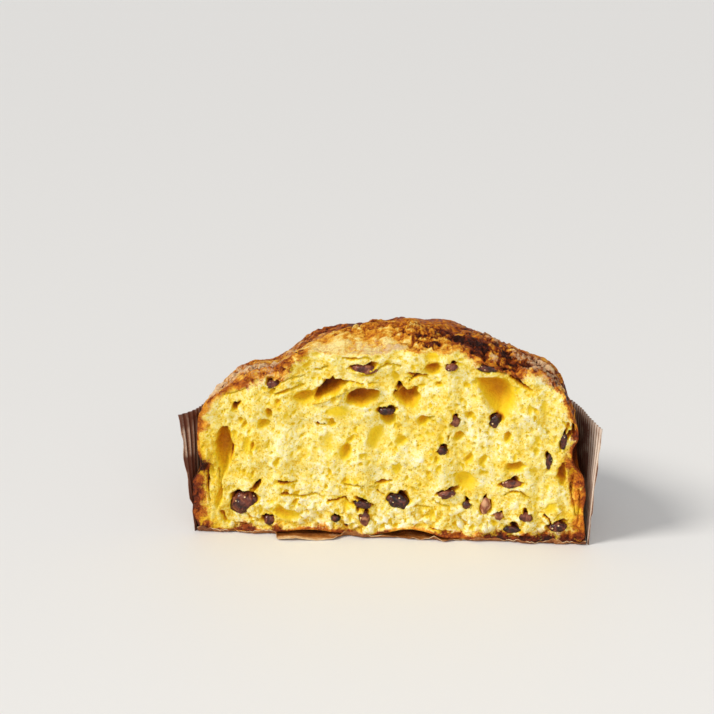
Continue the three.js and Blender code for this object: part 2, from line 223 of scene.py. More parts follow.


# soft egg and butter dough, baked, cut and torn: matt and slightly see-through, golden to dark with painted shade
# where it is hollow, pale with painted light on raised crumbs
def eggCrumb(add, place):
    look = crumbLook
    cloud = add("TexNoise", {"Vector": place, "Scale": 1000 / look["cloudMm"], "Detail": 2})
    mottle = add("TexNoise", {"Vector": place, "Scale": 1000 / look["mottleMm"], "Detail": 4, "Roughness": 0.62})
    fibre = add("TexNoise", {"Vector": place, "Scale": 1000 / look["fibreMm"], "Detail": 3, "Roughness": 0.6})
    cells = add("TexVoronoi", {"Vector": place, "Scale": 1000 / look["cellMm"]})
    holes = add("TexVoronoi", {"Vector": place, "Scale": 1000 / look["holeMm"]})
    pore, rind, reliefShadeAndTone = (add("Attribute", out="Fac", attribute_name=name) for name in ("pore", "rind", "reliefShadeAndTone"))
    clouded = add("MapRange", [cloud, *noiseSpan, -0.15, 0.15])
    mottled = add("MapRange", [mottle, *noiseSpan, -0.22, 0.22])
    torn = add("MapRange", [fibre, *noiseSpan, -0.16, 0.16])
    holed = add("MapRange", [holes, 0.1, 0.36, -0.34, 0])
    # painted light on raised crumbs and painted shade in hollows, with the crumb's own mottles, and painted shade
    # in small holes
    height = reliefShadeAndTone
    for part in (mottled, clouded, torn, holed):
        height = add("Math", [height, part], operation="ADD")
    base = add("ValToRGB", [height], stops=look["stops"])
    # a few cells hold a small dark dot, painted shade in a pinhole
    near = add("MapRange", [cells, 0.16, 0.34, 1, 0])
    chosen = add("Math", [add("SeparateColor", [cells.node.outputs["Color"]]), 0.84], operation="GREATER_THAN")
    pinholeShade = add("Math", [near, chosen], operation="MULTIPLY")
    pinholeShade = add("Math", [pinholeShade, 0.42], operation="MULTIPLY")
    pinholeShaded = add("Mix", {0: pinholeShade, 6: base, 7: linear(look["pinholeShade"])}, 2, data_type="RGBA")
    # painted shade in the pores, from yellow at the rim to near black deep inside
    poreShadeLevel = add("Math", [pore, add("MapRange", [mottle, *noiseSpan, 0.07, -0.07])], operation="ADD")
    poreShadeColour = add("ValToRGB", [poreShadeLevel], stops=look["pore"])
    withPoreShade = add("Mix", {0: add("MapRange", [pore, 0.04, 0.24]), 6: pinholeShaded, 7: poreShadeColour}, 2, data_type="RGBA")
    crust = crustColour(add, place)[0]
    ragged = rind
    for part in (torn, mottled):
        ragged = add("Math", [ragged, part], operation="ADD")
    colour = add("Mix", {0: add("MapRange", [ragged, 0.3, 0.6]), 6: withPoreShade, 7: crust}, 2, data_type="RGBA")
    pits = add("Math", [fibre, pinholeShade], operation="SUBTRACT")
    pits = add("Math", [pits, holed], operation="ADD")
    return {
        "Base Color": colour, "Normal": add("Bump", {"Height": pits, "Strength": 0.75, "Distance": 0.0008}),
        "Roughness": 0.7, "IOR": 1.4, "Specular IOR Level": 0.3,
        "Subsurface Weight": 0.18, "Subsurface Radius": (1.0, 0.75, 0.25), "Subsurface Scale": 0.0014,
    }


# egg-rich crust browned in the oven: silky where it stretched, crackled and shiny where it caught
def bakedCrust(add, place):
    colour, baked, height = crustColour(add, place)
    return {
        "Base Color": colour, "Normal": add("Bump", {"Height": height, "Strength": 0.8, "Distance": 0.0014}),
        "Roughness": add("MapRange", [baked, 0.3, 0.7, 0.55, 0.34]), "IOR": 1.45, "Specular IOR Level": 0.13,
        "Subsurface Weight": 0.06, "Subsurface Radius": (1.0, 0.5, 0.2), "Subsurface Scale": 0.001,
    }


raisinLook = {
    "stops": [(0.08, "#180604"), (0.26, "#40160E"), (0.44, "#6E3220"), (0.62, "#A0603E"), (0.84, "#D4A074")],
    "crumb": "#EBC98E", "blotchMm": 4.0, "pleatMm": 2.0, "crumbMm": 1.6,
}


# dried sultanas plumped in the oven: dark wrinkled skin with a sticky shine, and a few crumbs stuck to it
def raisinSkin(add, place):
    look = raisinLook
    shade = add("Attribute", out="Fac", attribute_name="shade")
    blotch = add("TexNoise", {"Vector": place, "Scale": 1000 / look["blotchMm"], "Detail": 2.5, "Roughness": 0.6,
                              "Distortion": 0.6})
    pleats = add("TexNoise", {"Vector": place, "Scale": 1000 / look["pleatMm"], "Detail": 2, "Roughness": 0.6,
                              "Distortion": 1.2})
    mixed = add("Math", [shade, add("MapRange", [blotch, 0.36, 0.64, 0, 0.76])], operation="ADD")
    colour = add("ValToRGB", [add("Math", [mixed, 0.5], operation="MULTIPLY")], stops=look["stops"])
    crumbs = add("TexVoronoi", {"Vector": place, "Scale": 1000 / look["crumbMm"]})
    near = add("Math", [crumbs, 0.3], operation="LESS_THAN")
    chosen = add("Math", [add("SeparateColor", [crumbs.node.outputs["Color"]]), 0.93], operation="GREATER_THAN")
    stuck = add("Math", [near, chosen], operation="MULTIPLY")
    return {
        "Base Color": add("Mix", {0: stuck, 6: colour, 7: linear(look["crumb"])}, 2, data_type="RGBA"),
        "Normal": add("Bump", {"Height": pleats, "Strength": 0.6, "Distance": 0.0011}),
        "Roughness": 0.34, "IOR": 1.45, "Specular IOR Level": 0.28, "Coat Weight": 0.36, "Coat Roughness": 0.14,
        "Subsurface Weight": 0.1, "Subsurface Radius": (1.0, 0.3, 0.15), "Subsurface Scale": 0.001,
    }


# from painted shade in the rib grooves to painted light on their peaks; the grease colour is also painted shade
# near the loaf
wallLook = {
    "stops": [(0.06, "#442013"), (0.42, "#84563C"), (0.75, "#BE9C82"), (1.0, "#E0CEBC")],
    "butter": "#6B432C", "greaseAndShade": "#5E2A14", "fibreMm": 0.9, "soakMm": 22.0,
}


# brown baking paper pressed into ribs: matt fibres, painted light on the ridges and painted shade in the grooves,
# dark where butter soaked in, and painted shade where the loaf shades it
def bakingPaper(add, place):
    look = wallLook
    ridge, greaseAndShade = (add("Attribute", out="Fac", attribute_name=name) for name in ("ridge", "greaseAndShade"))
    fibre = add("TexNoise", {"Vector": place, "Scale": 1000 / look["fibreMm"], "Detail": 4, "Roughness": 0.7})
    soak = add("TexNoise", {"Vector": place, "Scale": 1000 / look["soakMm"], "Detail": 3})
    wear = add("MapRange", [fibre, *noiseSpan, -0.15, 0.15])
    colour = add("ValToRGB", [add("Math", [ridge, wear], operation="ADD")], stops=look["stops"])
    soaked = add("MapRange", [soak, 0.42, 0.7, 0, 0.5])
    tinted = add("Mix", {0: soaked, 6: colour, 7: linear(look["butter"])}, 2, data_type="RGBA")
    greaseAndShadeShare = add("MapRange", [add("Math", [greaseAndShade, wear], operation="ADD"), 0.2, 0.7, 0, 0.9])
    return {
        "Base Color": add("Mix", {0: greaseAndShadeShare, 6: tinted, 7: linear(look["greaseAndShade"])}, 2, data_type="RGBA"),
        "Normal": add("Bump", {"Height": fibre, "Strength": 0.35, "Distance": 0.0003}),
        "Roughness": 0.7, "IOR": 1.45,
    }


sheetLook = {
    "stops": [(0.1, "#4A230E"), (0.38, "#7E4416"), (0.62, "#AE6C2C"), (0.92, "#E2C296")],
    "fibreMm": 1.2, "soakMm": 9.0,
}


# the sheet under the loaf, soaked and browned by the baking: amber, half matt, with a pale torn edge
def greasyPaper(add, place):
    look = sheetLook
    ridge = add("Attribute", out="Fac", attribute_name="ridge")
    fibre = add("TexNoise", {"Vector": place, "Scale": 1000 / look["fibreMm"], "Detail": 4, "Roughness": 0.7})
    soak = add("TexNoise", {"Vector": place, "Scale": 1000 / look["soakMm"], "Detail": 3})
    worn = ridge
    for part in ([fibre, *noiseSpan, -0.16, 0.16], [soak, *noiseSpan, -0.2, 0.2]):
        worn = add("Math", [worn, add("MapRange", part)], operation="ADD")
    return {
        "Base Color": add("ValToRGB", [worn], stops=look["stops"]),
        "Normal": add("Bump", {"Height": fibre, "Strength": 0.4, "Distance": 0.0004}),
        "Roughness": 0.5, "IOR": 1.45,
    }


crumbMaterial = newMaterial("egg_dough_crumb_cut", eggCrumb)
crustMaterial = newMaterial("egg_dough_crust_baked", bakedCrust)
skinMaterial = newMaterial("sultana_skin_baked", raisinSkin)
paperMaterial = newMaterial("kraft_baking_paper_corrugated", bakingPaper)
greasyMaterial = newMaterial("kraft_baking_paper_greasy", greasyPaper)
print("materials made")


# loaf: the cut face is a fine grid with its pores, the crust is a skin of sections behind it

cutWaves = rowsOf(
    "across up phase size",
    (46, 31, 0.4, 0.7), (21, 27, 2.1, 0.5), (15, 14, 4.4, 0.35),
)
crustSwells = rowsOf(
    "x y across along rise",
    (-8, -2, 34, 17, -13.5), (27, -2, 13, 15, -4), (34, 24, 13, 12, -2.4), (55, -2, 14, 15, -8),
    (-28, -2, 12, 12, -2.5), (-62, 14, 13, 26, -10), (-43, 18, 12, 18, -3), (-82, -2, 12, 16, -5),
    (87, 18, 15, 24, 11), (58, 26, 15, 14, 2.2), (8, 27, 15, 13, -0.6), (-14, 52, 22, 14, -3),
    (34, 62, 17, 20, 2.4), (-42, 66, 18, 14, 2.6), (-66, 52, 13, 18, -2.8), (6, 88, 20, 12, 2.2),
    (62, 70, 12, 13, -2.4), (-52, 36, 22, 20, -5.8), (-26, 38, 16, 16, -3),
)
bottomArches = rowsOf(
    "x y across along rise",
    (11, 0, 14, 20, 4.6), (-43, 0, 17, 15, 2.2),
)
crustLobes = rowsOf(
    "side z tall deep out",
    (1, 33, 11, 7, 1.8), (1, 49, 8, 11, -3.6), (-1, 40, 5, 7, -2), (-1, 13, 6, 4, 1.8), (-1, 26, 7, 4, 2.8),
)

# how each part of the crust came out: browner or paler than the rest, crackled, or with a dry pale skin
crustPatches = rowsOf(
    "x y reach tone crag dust",
    (-97, 8, 9, -0.1, 0.5, 0.64), (-90, 15, 9, -0.06, 0.5, 0.66), (-80, 19, 9, 0.02, 0.7, 0.62),
    (-72, 6, 9, 0.1, 1, 0.44), (-61, 10, 9, 0.12, 1, 0.5), (-52, 4, 6, 0.18, 0.7, 0.1),
    (-52, 38, 14, -0.14, 0.2, 0.42), (-30, 42, 12, -0.12, 0.1, 0.3), (-39, 3, 9, -0.26, -0.1, 0.3),
    (-29, 4, 8, -0.22, -0.2, 0.16), (-18, 4, 8, -0.3, 0.1, 0.46), (-5, 3, 8, -0.28, 0.2, 0.5),
    (4, 1, 6, -0.16, 0.3, 0.4), (-22, 22, 9, 0.16, 0.6, 0), (-8, 22, 9, 0.06, 0.3, 0), (3, 12, 6, -0.1, 0.1, 0),
    (8, 18, 7, 0.14, 0.7, 0), (15, 8, 6, 0.16, 0.9, 0), (22, 6, 5, 0.2, 0.9, 0.1), (24, 18, 8, 0.1, 0.7, 0),
    (32, 14, 6, 0.18, 0.4, 0), (40, 12, 7, 0.5, 0.9, 0), (48, 10, 6, 0.46, 0.9, 0), (44, 4, 4, 0.3, 0.8, 0),
    (54, 5, 3.4, -0.1, 0.3, 0.45), (60, 14, 7, 0.32, 0.9, 0), (62, 4, 6, 0.3, 0.9, 0),
    (70, 12, 7, 0.1, 1, 0.56), (79, 7, 7, 0.12, 1, 0.52), (86, 5, 6, 0.14, 1, 0.46), (73, 3, 5, 0.1, 0.9, 0.3),
    (40, 30, 12, 0.08, 0.5, 0.3), (56, 26, 9, 0.16, 0.8, 0.5), (92, 6, 6, 0.12, 0.6, 0.1),
    (97, 10, 6, 0.14, 0.5, 0), (-20, 60, 24, 0.14, 0.4, 0), (40, 78, 20, 0.14, 0.6, 0.1),
    (-60, 70, 20, -0.05, 0.5, 0.4),
)
# browner or burnt spots on the face's rim, and how brown the rim is along the top: place and width
rindSpots = rowsOf(
    "x z reach tone cover",
    (-103, 39, 5.5, 0.55, 0.95), (-107.5, 30, 7.5, 0.3, 1), (-107.5, 21, 7.5, 0.3, 1), (-107, 12, 7, 0.3, 1),
    (-101, 3, 5, 0.12, 0.85), (-103, 62, 4.5, 0.22, 0.9), (96, 47, 5, 0.3, 0.8), (101, 37, 6, 0.22, 1),
    (103, 26, 6.5, 0.18, 1), (105, 32, 2.6, 0.3, 1), (99, 62, 4, 0.4, 0.8), (103, 12, 6, 0.2, 1),
    (103, 4, 4, 0.24, 1), (85, 2, 6, 0.3, 0.9), (96, 2, 6, 0.2, 0.9), (62, 1.5, 6, 0.2, 0.85),
    (74, 2.5, 4, 0.26, 0.9), (48, 1.5, 5, 0.12, 0.8), (30, 2.6, 4.6, 0.16, 0.85), (-62, 2, 4.5, 0.4, 0.85),
    (-80, 1, 7, 0.2, 0.8), (-38, 1.6, 6, 0.12, 0.75),
)
rindTop = [(-106, 3), (-86, 3.2), (-74, 6), (-60, 7), (-50, 3.4), (-40, 0.5), (-20, 0.4), (2, 0.4),
           (14, 1.2), (34, 1.8), (46, 3.4), (62, 3.6), (78, 3), (88, 1.8), (106, 1.8)]
# the large pores, by x and z of each corner of their rims; wall is how far in from the rim the bottom starts,
# dark how much shade is painted in
pores = rowsOf(
    "depth wall dark jag outline smooth",
    (8, 5, 0.62, 0.5, [-94.2, 59.5, -92, 61.3, -88.2, 61.4, -86.1, 55.2, -84.6, 50.6, -85.3, 43.6, -88.1, 38.3,
     -91, 31.8, -92.8, 26.5, -94.2, 36.4, -96.2, 45, -96.1, 50.8]),
    (9, 4, 0.84, 0.7, [-35.7, 89.1, -33, 89.8, -31.4, 91.5, -29.3, 89.9, -26.1, 90, -21.3, 88.4, -26.1, 84.9,
     -30.9, 80.8, -34.7, 79, -39, 77.2, -42.3, 77.7, -41.7, 81.6, -38.4, 85.7]),
    (6, 6, 0.6, 0.3, [-54.1, 79, -50.9, 81.9, -47.1, 83.2, -42.8, 83.3, -38.4, 86.2, -39, 80.6, -42.3, 76.5,
     -46.6, 75.3, -50.9, 76.3]),
    (8, 4, 0.74, 0.15, [-24.5, 77.6, -24, 80.5, -21.8, 83.4, -18, 85.1, -14.3, 85.8, -9.5, 85.4, -5.7, 83.8,
     -5.7, 81, -8.4, 78.1, -12.1, 76.3, -15.4, 74.5, -19.7, 75.5, -22.9, 76]),
    (1.6, 5, 0.24, 0.1, [-35.8, 72.8, -31.5, 75.2, -26.1, 76.5, -21.8, 74.3, -15.9, 73.4, -8.9, 76.4,
     -11.6, 71.8, -18.6, 68.8, -27.2, 67.9, -33.7, 69.4], True),
    (8, 5, 0.72, 0.8, [4.4, 89.2, 6, 87, 8.1, 84.8, 10.8, 85.4, 13.4, 87.2, 15.6, 85.6, 15.6, 80, 14.1, 75.4,
     10.9, 73.6, 7.1, 75.2, 5, 78, 1.8, 81.3, 3.3, 84.7]),
    (8, 9, 0.55, 0.15, [43.6, 93.1, 47.8, 93.2, 56.7, 93.5, 62, 92.5, 65.7, 88.2, 67.3, 82.6, 66.2, 75.9,
     62.8, 71.8, 58, 68.9, 55.1, 72.2, 52.4, 76.6, 49.1, 82.7, 46.3, 87.6]),
    (5, 4, 0.55, 0.1, [13.6, 67, 14.7, 69.8, 16.8, 71.6, 20, 71.1, 24.8, 71.8, 21.1, 68.3, 18.5, 65.4,
     15.3, 64.2]),
    (5, 3, 0.6, 0.3, [-68.3, 70.6, -66.7, 72.9, -64.5, 72.4, -62.9, 70.2, -64, 67.3, -66.8, 67.2]),
    (4, 4, 0.52, 0.3, [-72.8, 63.6, -70.6, 66.6, -67.3, 66.7, -64.6, 65, -65.8, 62.1, -69.1, 60.3,
     -72.3, 60.8]),
    (5, 2.5, 0.98, 0.6, [-86.2, 73.5, -84.6, 76.4, -82.9, 75.3, -80.7, 76.5, -81.4, 73.1, -83.6, 71.3,
     -85.7, 71.8]),
    (3.4, 5, 0.36, 0.2, [34, 33.9, 35.5, 38, 38.7, 39.8, 43, 39.4, 46.9, 36.1, 47.5, 32.6, 44.3, 29,
     40.6, 28.3, 36.7, 30.5], True),
    (5, 4, 0.58, 0.6, [61.7, 43.5, 63.2, 45.8, 67, 46.5, 70.1, 47.8, 73.4, 45, 71.9, 41.5, 67.7, 39.7,
     63.4, 40.7]),
    (5, 6, 0.5, 0.3, [-65.4, 12.7, -63.2, 16.4, -60.4, 18.2, -56.5, 14.8, -51.6, 13.3, -48.3, 9.8, -55, 6.6,
     -61.6, 8.7], True),
    (5, 3, 0.78, 0.5, [89.1, 38.1, 90, 42.7, 91.5, 46.2, 93.5, 47.4, 94.8, 42.3, 95, 36.6, 93.5, 32.5,
     90.8, 33.6]),
    (3, 5, 0.62, 0.2, [95.8, 42.9, 97.9, 45.3, 100.5, 45.4, 101.7, 42, 101.9, 36.3, 100.6, 30.5, 98.3, 33.9,
     96.5, 38.4], True),
    (5, 4, 0.68, 0.5, [17, 97.3, 20.2, 100.2, 24.4, 100.9, 27.1, 98.7, 27.1, 94.9, 23.5, 93.6, 19.2, 94.1]),
    (6, 2, 1, 0.7, [-76.8, 24.7, -75.1, 28.3, -72.8, 31.3, -70.6, 32.5, -70.7, 29, -72.4, 26, -75.2, 23.6]),
    (5, 4, 0.66, 0.2, [-6.2, 72.6, -3.5, 72.1, 0.7, 72.8, 3.4, 71.2, 2.9, 67.2, 0.3, 63.7, -3, 64.7, -5.7, 68]),
    (4.4, 5, 0.48, 0.1, [-28.4, 48.4, -26.7, 52.5, -23.5, 54.9, -20.8, 53.3, -20.2, 48.7, -22.4, 44.6,
     -25.7, 42.8, -27.8, 44.4]),
    (3.6, 6, 0.34, 0.1, [-13.7, 55.2, -12.1, 61, -8.4, 64.5, -3.5, 64.1, -2.9, 58.5, -5.1, 53.2, -8.3, 49.7,
     -12.1, 50.7], True),
    (2.4, 5, 0.16, 0.1, [-37.6, 52.2, -36.5, 57.9, -33.7, 60.9, -30.5, 59.8, -29.4, 53.6, -31.1, 46.6,
     -34.9, 44.8, -37.1, 48.2], True),
    (3.2, 3, 0.36, 0.1, [0.4, 43.7, 2.5, 42.6, 5.2, 44.4, 6.9, 41, 4.8, 36.3, 2.1, 35.6, 0.4, 39.6], True),
    (3, 3, 0.45, 0.2, [39.2, 45, 40.2, 48.5, 43.3, 51.4, 45, 49.2, 44.5, 45.8, 41.9, 43.9]),
    (3, 3, 0.4, 0.2, [47.2, 43.6, 47.7, 48.2, 50.8, 50.5, 53, 48.9, 51.5, 44.8, 48.9, 42.5]),
    (4, 3, 0.46, 0.1, [60.3, 58.3, 60.7, 62.2, 63.3, 64, 65.5, 61.3, 64, 57.2, 61.4, 56]),
    (4, 3, 0.5, 0.1, [33, 58.5, 34.6, 62, 37.8, 62.6, 40.5, 60.4, 37.9, 57.5, 34.7, 56.3]),
    (3.5, 4, 0.38, 0.1, [1.9, 55.8, 4.1, 59.3, 7.8, 59.4, 10, 56.6, 7.3, 53.1, 3.6, 53]),
    (2.4, 2.5, 0.34, 0.1, [72.5, 76.7, 73.4, 80.1, 75, 79, 75.7, 75.1, 74.2, 72.8, 72.5, 74.4], True),
    (1.8, 4, 0.26, 0.1, [79.3, 78, 80.7, 82, 83.4, 80.4, 84.1, 75.9, 82.1, 72.5, 79.9, 74.7], True),
    (3, 3, 0.38, 0.1, [-80.7, 50.7, -79.5, 55.4, -76.8, 56, -75.8, 52.6, -77.5, 46.2, -79.7, 45.6], True),
    (3, 2, 0.62, 0.2, [-76.3, 52.6, -74.1, 53.8, -73.1, 50.4, -74.8, 47.5, -76.4, 48.6]),
    (3, 3, 0.46, 0.1, [39.7, 71.2, 40.8, 74, 43.4, 74.7, 45.6, 73, 43.5, 70.2, 40.8, 69.5]),
    (3, 2.5, 0.55, 0.3, [23, 88, 23.5, 90.3, 26.7, 90.9, 28.3, 88.2, 26.2, 87, 24.6, 87.5]),
    (4, 3, 0.5, 0.4, [-66, 80.9, -64.9, 83.8, -62.2, 84.4, -61.1, 82.7, -63.3, 79.8]),
    (2.5, 3, 0.42, 0.3, [-32.6, 77.4, -31.5, 80.8, -29.3, 82, -28.8, 78.6, -30.4, 75.8]),
    (2, 4, 0.42, 0.2, [17.5, 103.4, 20.6, 106.3, 24.3, 107.5, 27.5, 105.4, 26, 103.1, 21.2, 101.9], True),
    (2.2, 5, 0.34, 0.3, [82.8, 18.8, 85.3, 23, 89.6, 23.7, 90.8, 20.3, 88.2, 17.3, 84.4, 17.2], True),
    (3, 2, 0.5, 0.3, [-95.1, 23.4, -93.4, 27, -91.8, 24.7, -92.5, 17.6, -95.4, 12.2, -97, 15.7]),
)
# dark is how much shade is painted in each pore
ovalPores = rowsOf(
    "x z width height depth lean jag dark",
    (-75.2, 50.9, 2.7, 5.8, 1.6, 8, 0.2, 0.45), (-60.7, 76.5, 4.3, 4, 2, 20, 0.2, 0.5),
    (76.8, 71.8, 2.1, 3.9, 1.4, 0, 0.2, 0.45), (-15.9, 43.1, 2.7, 2.9, 1.4, 0, 0.2, 0.4),
    (-79.9, 35.7, 2.2, 4.1, 1.4, 0, 0.2, 0.4), (-81.5, 65.1, 2.7, 4.6, 1.6, 10, 0.2, 0.5),
    (94.4, 67.8, 2.6, 4.5, 1.8, 0, 0.2, 0.7), (11.8, 93.9, 5.8, 2.4, 2.6, -6, 0.35, 0.9),
    (4.6, 86.6, 4.6, 4.6, 5, 30, 0.4, 1), (2.4, 83.4, 3.6, 2.6, 4, 30, 0.4, 0.98),
    (-24.1, 5.4, 3.4, 3, 2.6, 0, 0.35, 1), (-86.6, 46.5, 2.4, 10, 5, -8, 0.3, 0.86),
    (95.4, 62.6, 2.6, 6, 3.4, -12, 0.3, 1),
)
# thin openings and folds: width, depth, dark, which is how much shade is painted in an opening, and x and z of
# each point of a line; a fold stands out, its depth below 0
cracks = rowsOf(
    "width depth dark points",
    (1.6, 3, 0.62, [-57, 23.6, -51, 22.1, -46.6, 22.3, -40.5, 23.7, -37.2, 22]),
    (3.6, 3, 0.75, [-59, 23.2, -54.5, 22.6]),
    (1.8, 3.2, 0.8, [-33.4, 20.4, -30.1, 20.5, -26.3, 21.8, -24.6, 22.5, -22.4, 19, -20.2, 18.5]),
    (3.2, 4, 1, [-19.7, 19.7, -15.3, 18.1, -9.8, 18.3]), (2.2, 3, 1, [-17.6, 18.4, -17.2, 15.4]),
    (1.1, 2.4, 0.7, [-25.1, 29.5, -15.3, 29.8, -10.4, 29.4, -6.6, 28.4]),
    (3, 3, 0.74, [-7.7, 31.2, -4.4, 31.9, 0.4, 32.7]),
    (2.6, 2.8, 0.86, [-60.6, 30.4, -56.5, 29.6, -51.6, 30.6]), (2, 2.8, 0.8, [-7.1, 26.6, -3.3, 24.4]),
    (0.9, 1.8, 0.5, [5.3, 31.7, 9.7, 29.5]), (1.5, 2.6, 0.6, [22.8, 23, 26.1, 20.8, 31.5, 19.3]),
    (1.3, 2.2, 0.6, [13, 18.6, 22.8, 18.4]),
    (1.7, 3, 0.72, [61.6, 26.8, 65.8, 29.2, 70.7, 29.4, 73.4, 26.6, 76.1, 25.6]),
    (1.6, 2, 0.62, [-25.5, 102.2, -20.7, 101.8, -13.3, 103.1, -10.1, 101.6]),
    (1.6, 2.6, 0.62, [-15.4, 92.5, -10.6, 93.2, -6.9, 96.1, -3.7, 98.4, 0.6, 99.1, 4.8, 98.1]),
    (1, 2.4, 0.66, [-21.8, 88.6, -13.8, 87.9, -6.3, 88.6]), (1, 1.8, 0.5, [-89.9, 79, -83.4, 80.9, -76.8, 84]),
    (1.1, 2, 0.52, [-63.8, 84.9, -59.4, 87.3, -54, 89.7, -46, 91.5]),
    (1.8, 2.4, 0.6, [-40.5, 95.1, -37.3, 95.2, -33.5, 97]), (2.2, 2.4, 0.5, [-62, 80.5, -54, 83.5, -47, 86.2]),
    (1.7, 3, 0.85, [51.4, 97.8, 56.1, 96.8, 60.4, 95.8]),
    (2.6, 5, 0.98, [63.6, 93.8, 67.4, 91.4, 71, 88.8, 74.6, 86.6]),
    (2.2, 3.4, 1, [-39.7, 64.7, -37.5, 64, -35.9, 64.5]),
    (1.2, 2.4, 0.86, [93.2, 86.8, 94.4, 81.3, 95.2, 75.7, 96.4, 71.3]), (3.2, 4, 1, [97.2, 68.5, 97.4, 63.5]),
    (1.6, 3, 0.55, [-94.2, 36.4, -93.3, 27.6, -93, 18.8]), (1.6, 2.6, 0.95, [-70.5, 9.6, -67.1, 8.5, -65, 5.7]),
    (1.2, 2.6, 0.7, [30.9, 60.1, 31.5, 56.2]), (2.8, 3, 0.66, [-92.7, 11, -91.1, 5.9]),
    (1.6, 2.6, 0.95, [83.9, 16, 86.2, 13.7, 87.4, 10.3]),
    (2, 3.4, 0.92, [-100.4, 39, -99.8, 33, -100.2, 25, -99.4, 18]),
    (2.4, 3.4, 0.9, [98.6, 40, 97.2, 33, 98.4, 24, 100.6, 16]),
    (1.8, 2.4, 0.7, [101.6, 31, 102.4, 22, 101.4, 12]), (1.4, 2.4, 0.8, [22, 5.6, 34, 4.6]),
    (1.6, 2.4, 0.86, [58, 3.6, 66, 2.8, 73, 3.4]), (1.4, 2.2, 0.8, [79, 3.2, 84, 4, 88, 3]),
    (2.4, 3, 0.9, [10, 90, 14, 93.5, 18.5, 93.2]),
    (2.2, -3, 0, [-28, 76.6, -26, 82.6, -20.5, 86.6, -12, 87.2, -7, 86.6]),
    (2, -2.6, 0, [-42, 76, -33, 78.6, -26, 83.4, -20, 88.4]), (2, -1.2, 0, [43, 92, 47, 84, 52, 76]),
    (2.2, -1.9, 0, [-21, 94.5, -14, 94, -9, 96.2, -6, 98.6]), (2.4, -0.8, 0, [-26, 31, -15, 31.6, -8, 30.2]),
)
raisins = rowsOf(
    "x z width height lean inside shade",
    (-81, 17, 17, 12.5, 24, 2, 0.35), (-64, 86, 8, 4.6, 18, 1.2, 0.45), (-14, 96.5, 14, 5.4, -4, 1.6, 0.6),
    (-2, 72.8, 10, 4.6, 4, 0.8, 0.2), (34.5, 68.5, 5.2, 6.4, 10, 0.8, 0.55), (56, 69, 6.6, 8, -16, 1, 0.34),
    (28, 51.5, 5.4, 5.6, 0, 0.8, 0.25), (32, 99, 7, 4.4, 12, 1, 0.7), (4.5, 21, 14.5, 9.4, -14, 1.4, 0.12),
    (-15, 19.3, 9.6, 4.4, -8, 1, 0.1), (-14, 11, 6, 9, 10, 1, 0.65), (-30, 10, 5.2, 4, 0, 1, 0.05),
    (30.5, 26.5, 10.4, 5, 12, 1, 0.5), (41.5, 20.5, 5, 5, 0, 0.8, 0.4), (51.5, 20, 5.6, 10.6, -6, 1, 0.9),
    (59, 14.5, 5, 4.8, 0, 1, 0.85), (65.5, 33.5, 11, 5.6, 8, 1.2, 0.5), (73.5, 15, 7.6, 5.2, -10, 1, 0.4),
    (67, 7, 10.6, 4.4, 0, 1.4, 0.02), (91, 9.5, 10.4, 6, 8, 1.2, 0.35), (-66.5, 7.5, 6.4, 6, 20, 1.4, 0.5),
    (85, 47, 3.6, 9, -6, 0.8, 0.1), (92.5, 58.5, 3.8, 9.4, -8, 1, 0.25), (51, 98.4, 12.4, 4.6, -4, 1.4, 0.3),
)
faceGrid = {"across": 326, "up": 156}
faceNumber = np.arange((faceGrid["up"] + 1) * (faceGrid["across"] + 1)).reshape(faceGrid["up"] + 1, -1)
skinGrid = {
    "side": 30, "top": 226, "bottom": 34, "seam": 0.7, "fineTo": 44.0, "fineStep": 0.95, "coarseSteps": 78,
}


# how far the wavy cut lies behind its plane
def cutDepth(x, z):
    depth = np.zeros_like(x)
    for wave in cutWaves:
        turn = 2 * np.pi * x / wave["across"] + wave["phase"] + np.sin(z / wave["up"])
        depth += wave["size"] * np.sin(turn)
        depth += wave["size"] * 0.6 * np.cos(2 * np.pi * z / wave["up"] + 2 * wave["phase"])
    return depth


# fine waves of the skin on top
def wrinkle(x, y):
    slow = np.sin(x / 4.3 + 1.7 * np.sin(y / 9.1)) * np.cos(y / 5.2 + 1.3 * np.sin(x / 11.7))
    return 0.7 * (slow + 0.4 * np.sin(x / 2.9 - y / 3.7 + 0.6))


def patchValue(key, x, y):
    value = np.zeros_like(x)
    for patch in crustPatches:
        far = ((x - patch["x"]) ** 2 + (y - patch["y"]) ** 2) / patch["reach"] ** 2
        value += patch[key] * np.exp(-far)
    return value


# a row of points round the loaf, up the left side, over the dome and down the right, at one plan angle
def sectionPoints(turn, share):
    plan = loafPlan
    tall = plan["shoulder"] - plan["floor"]
    side = np.where(share < 1.5, -1.0, 1.0)
    up = np.clip(np.where(share < 1.5, share, 3 - share), 0, 1)
    z = plan["floor"] + tall * up
    low = np.clip(1 - (z - plan["floor"]) / plan["edgeRound"], 0, 1)
    reach = plan["radius"] - plan["edgeRound"] * (1 - np.sqrt(1 - low ** 2))
    x = side * reach * math.cos(turn)
    y = reach * math.sin(turn)
    onTop = (share > 1) & (share < 2)
    across = np.clip(share - 1, 0, 1) * 2 - 1
    across = 0.6 * across + 0.4 * np.sin(across * np.pi / 2)
    x = np.where(onTop, plan["radius"] * math.cos(turn) * across, x)
    y = np.where(onTop, plan["radius"] * math.sin(turn), y)
    rho = np.clip(np.hypot(x, y) / plan["radius"], 0, 1)
    dome = plan["shoulder"] + plan["rise"] * (1 - rho ** plan["power"]) ** plan["fullness"]
    z = np.where(onTop, dome, z)
    return np.stack([x, y, z], 1)


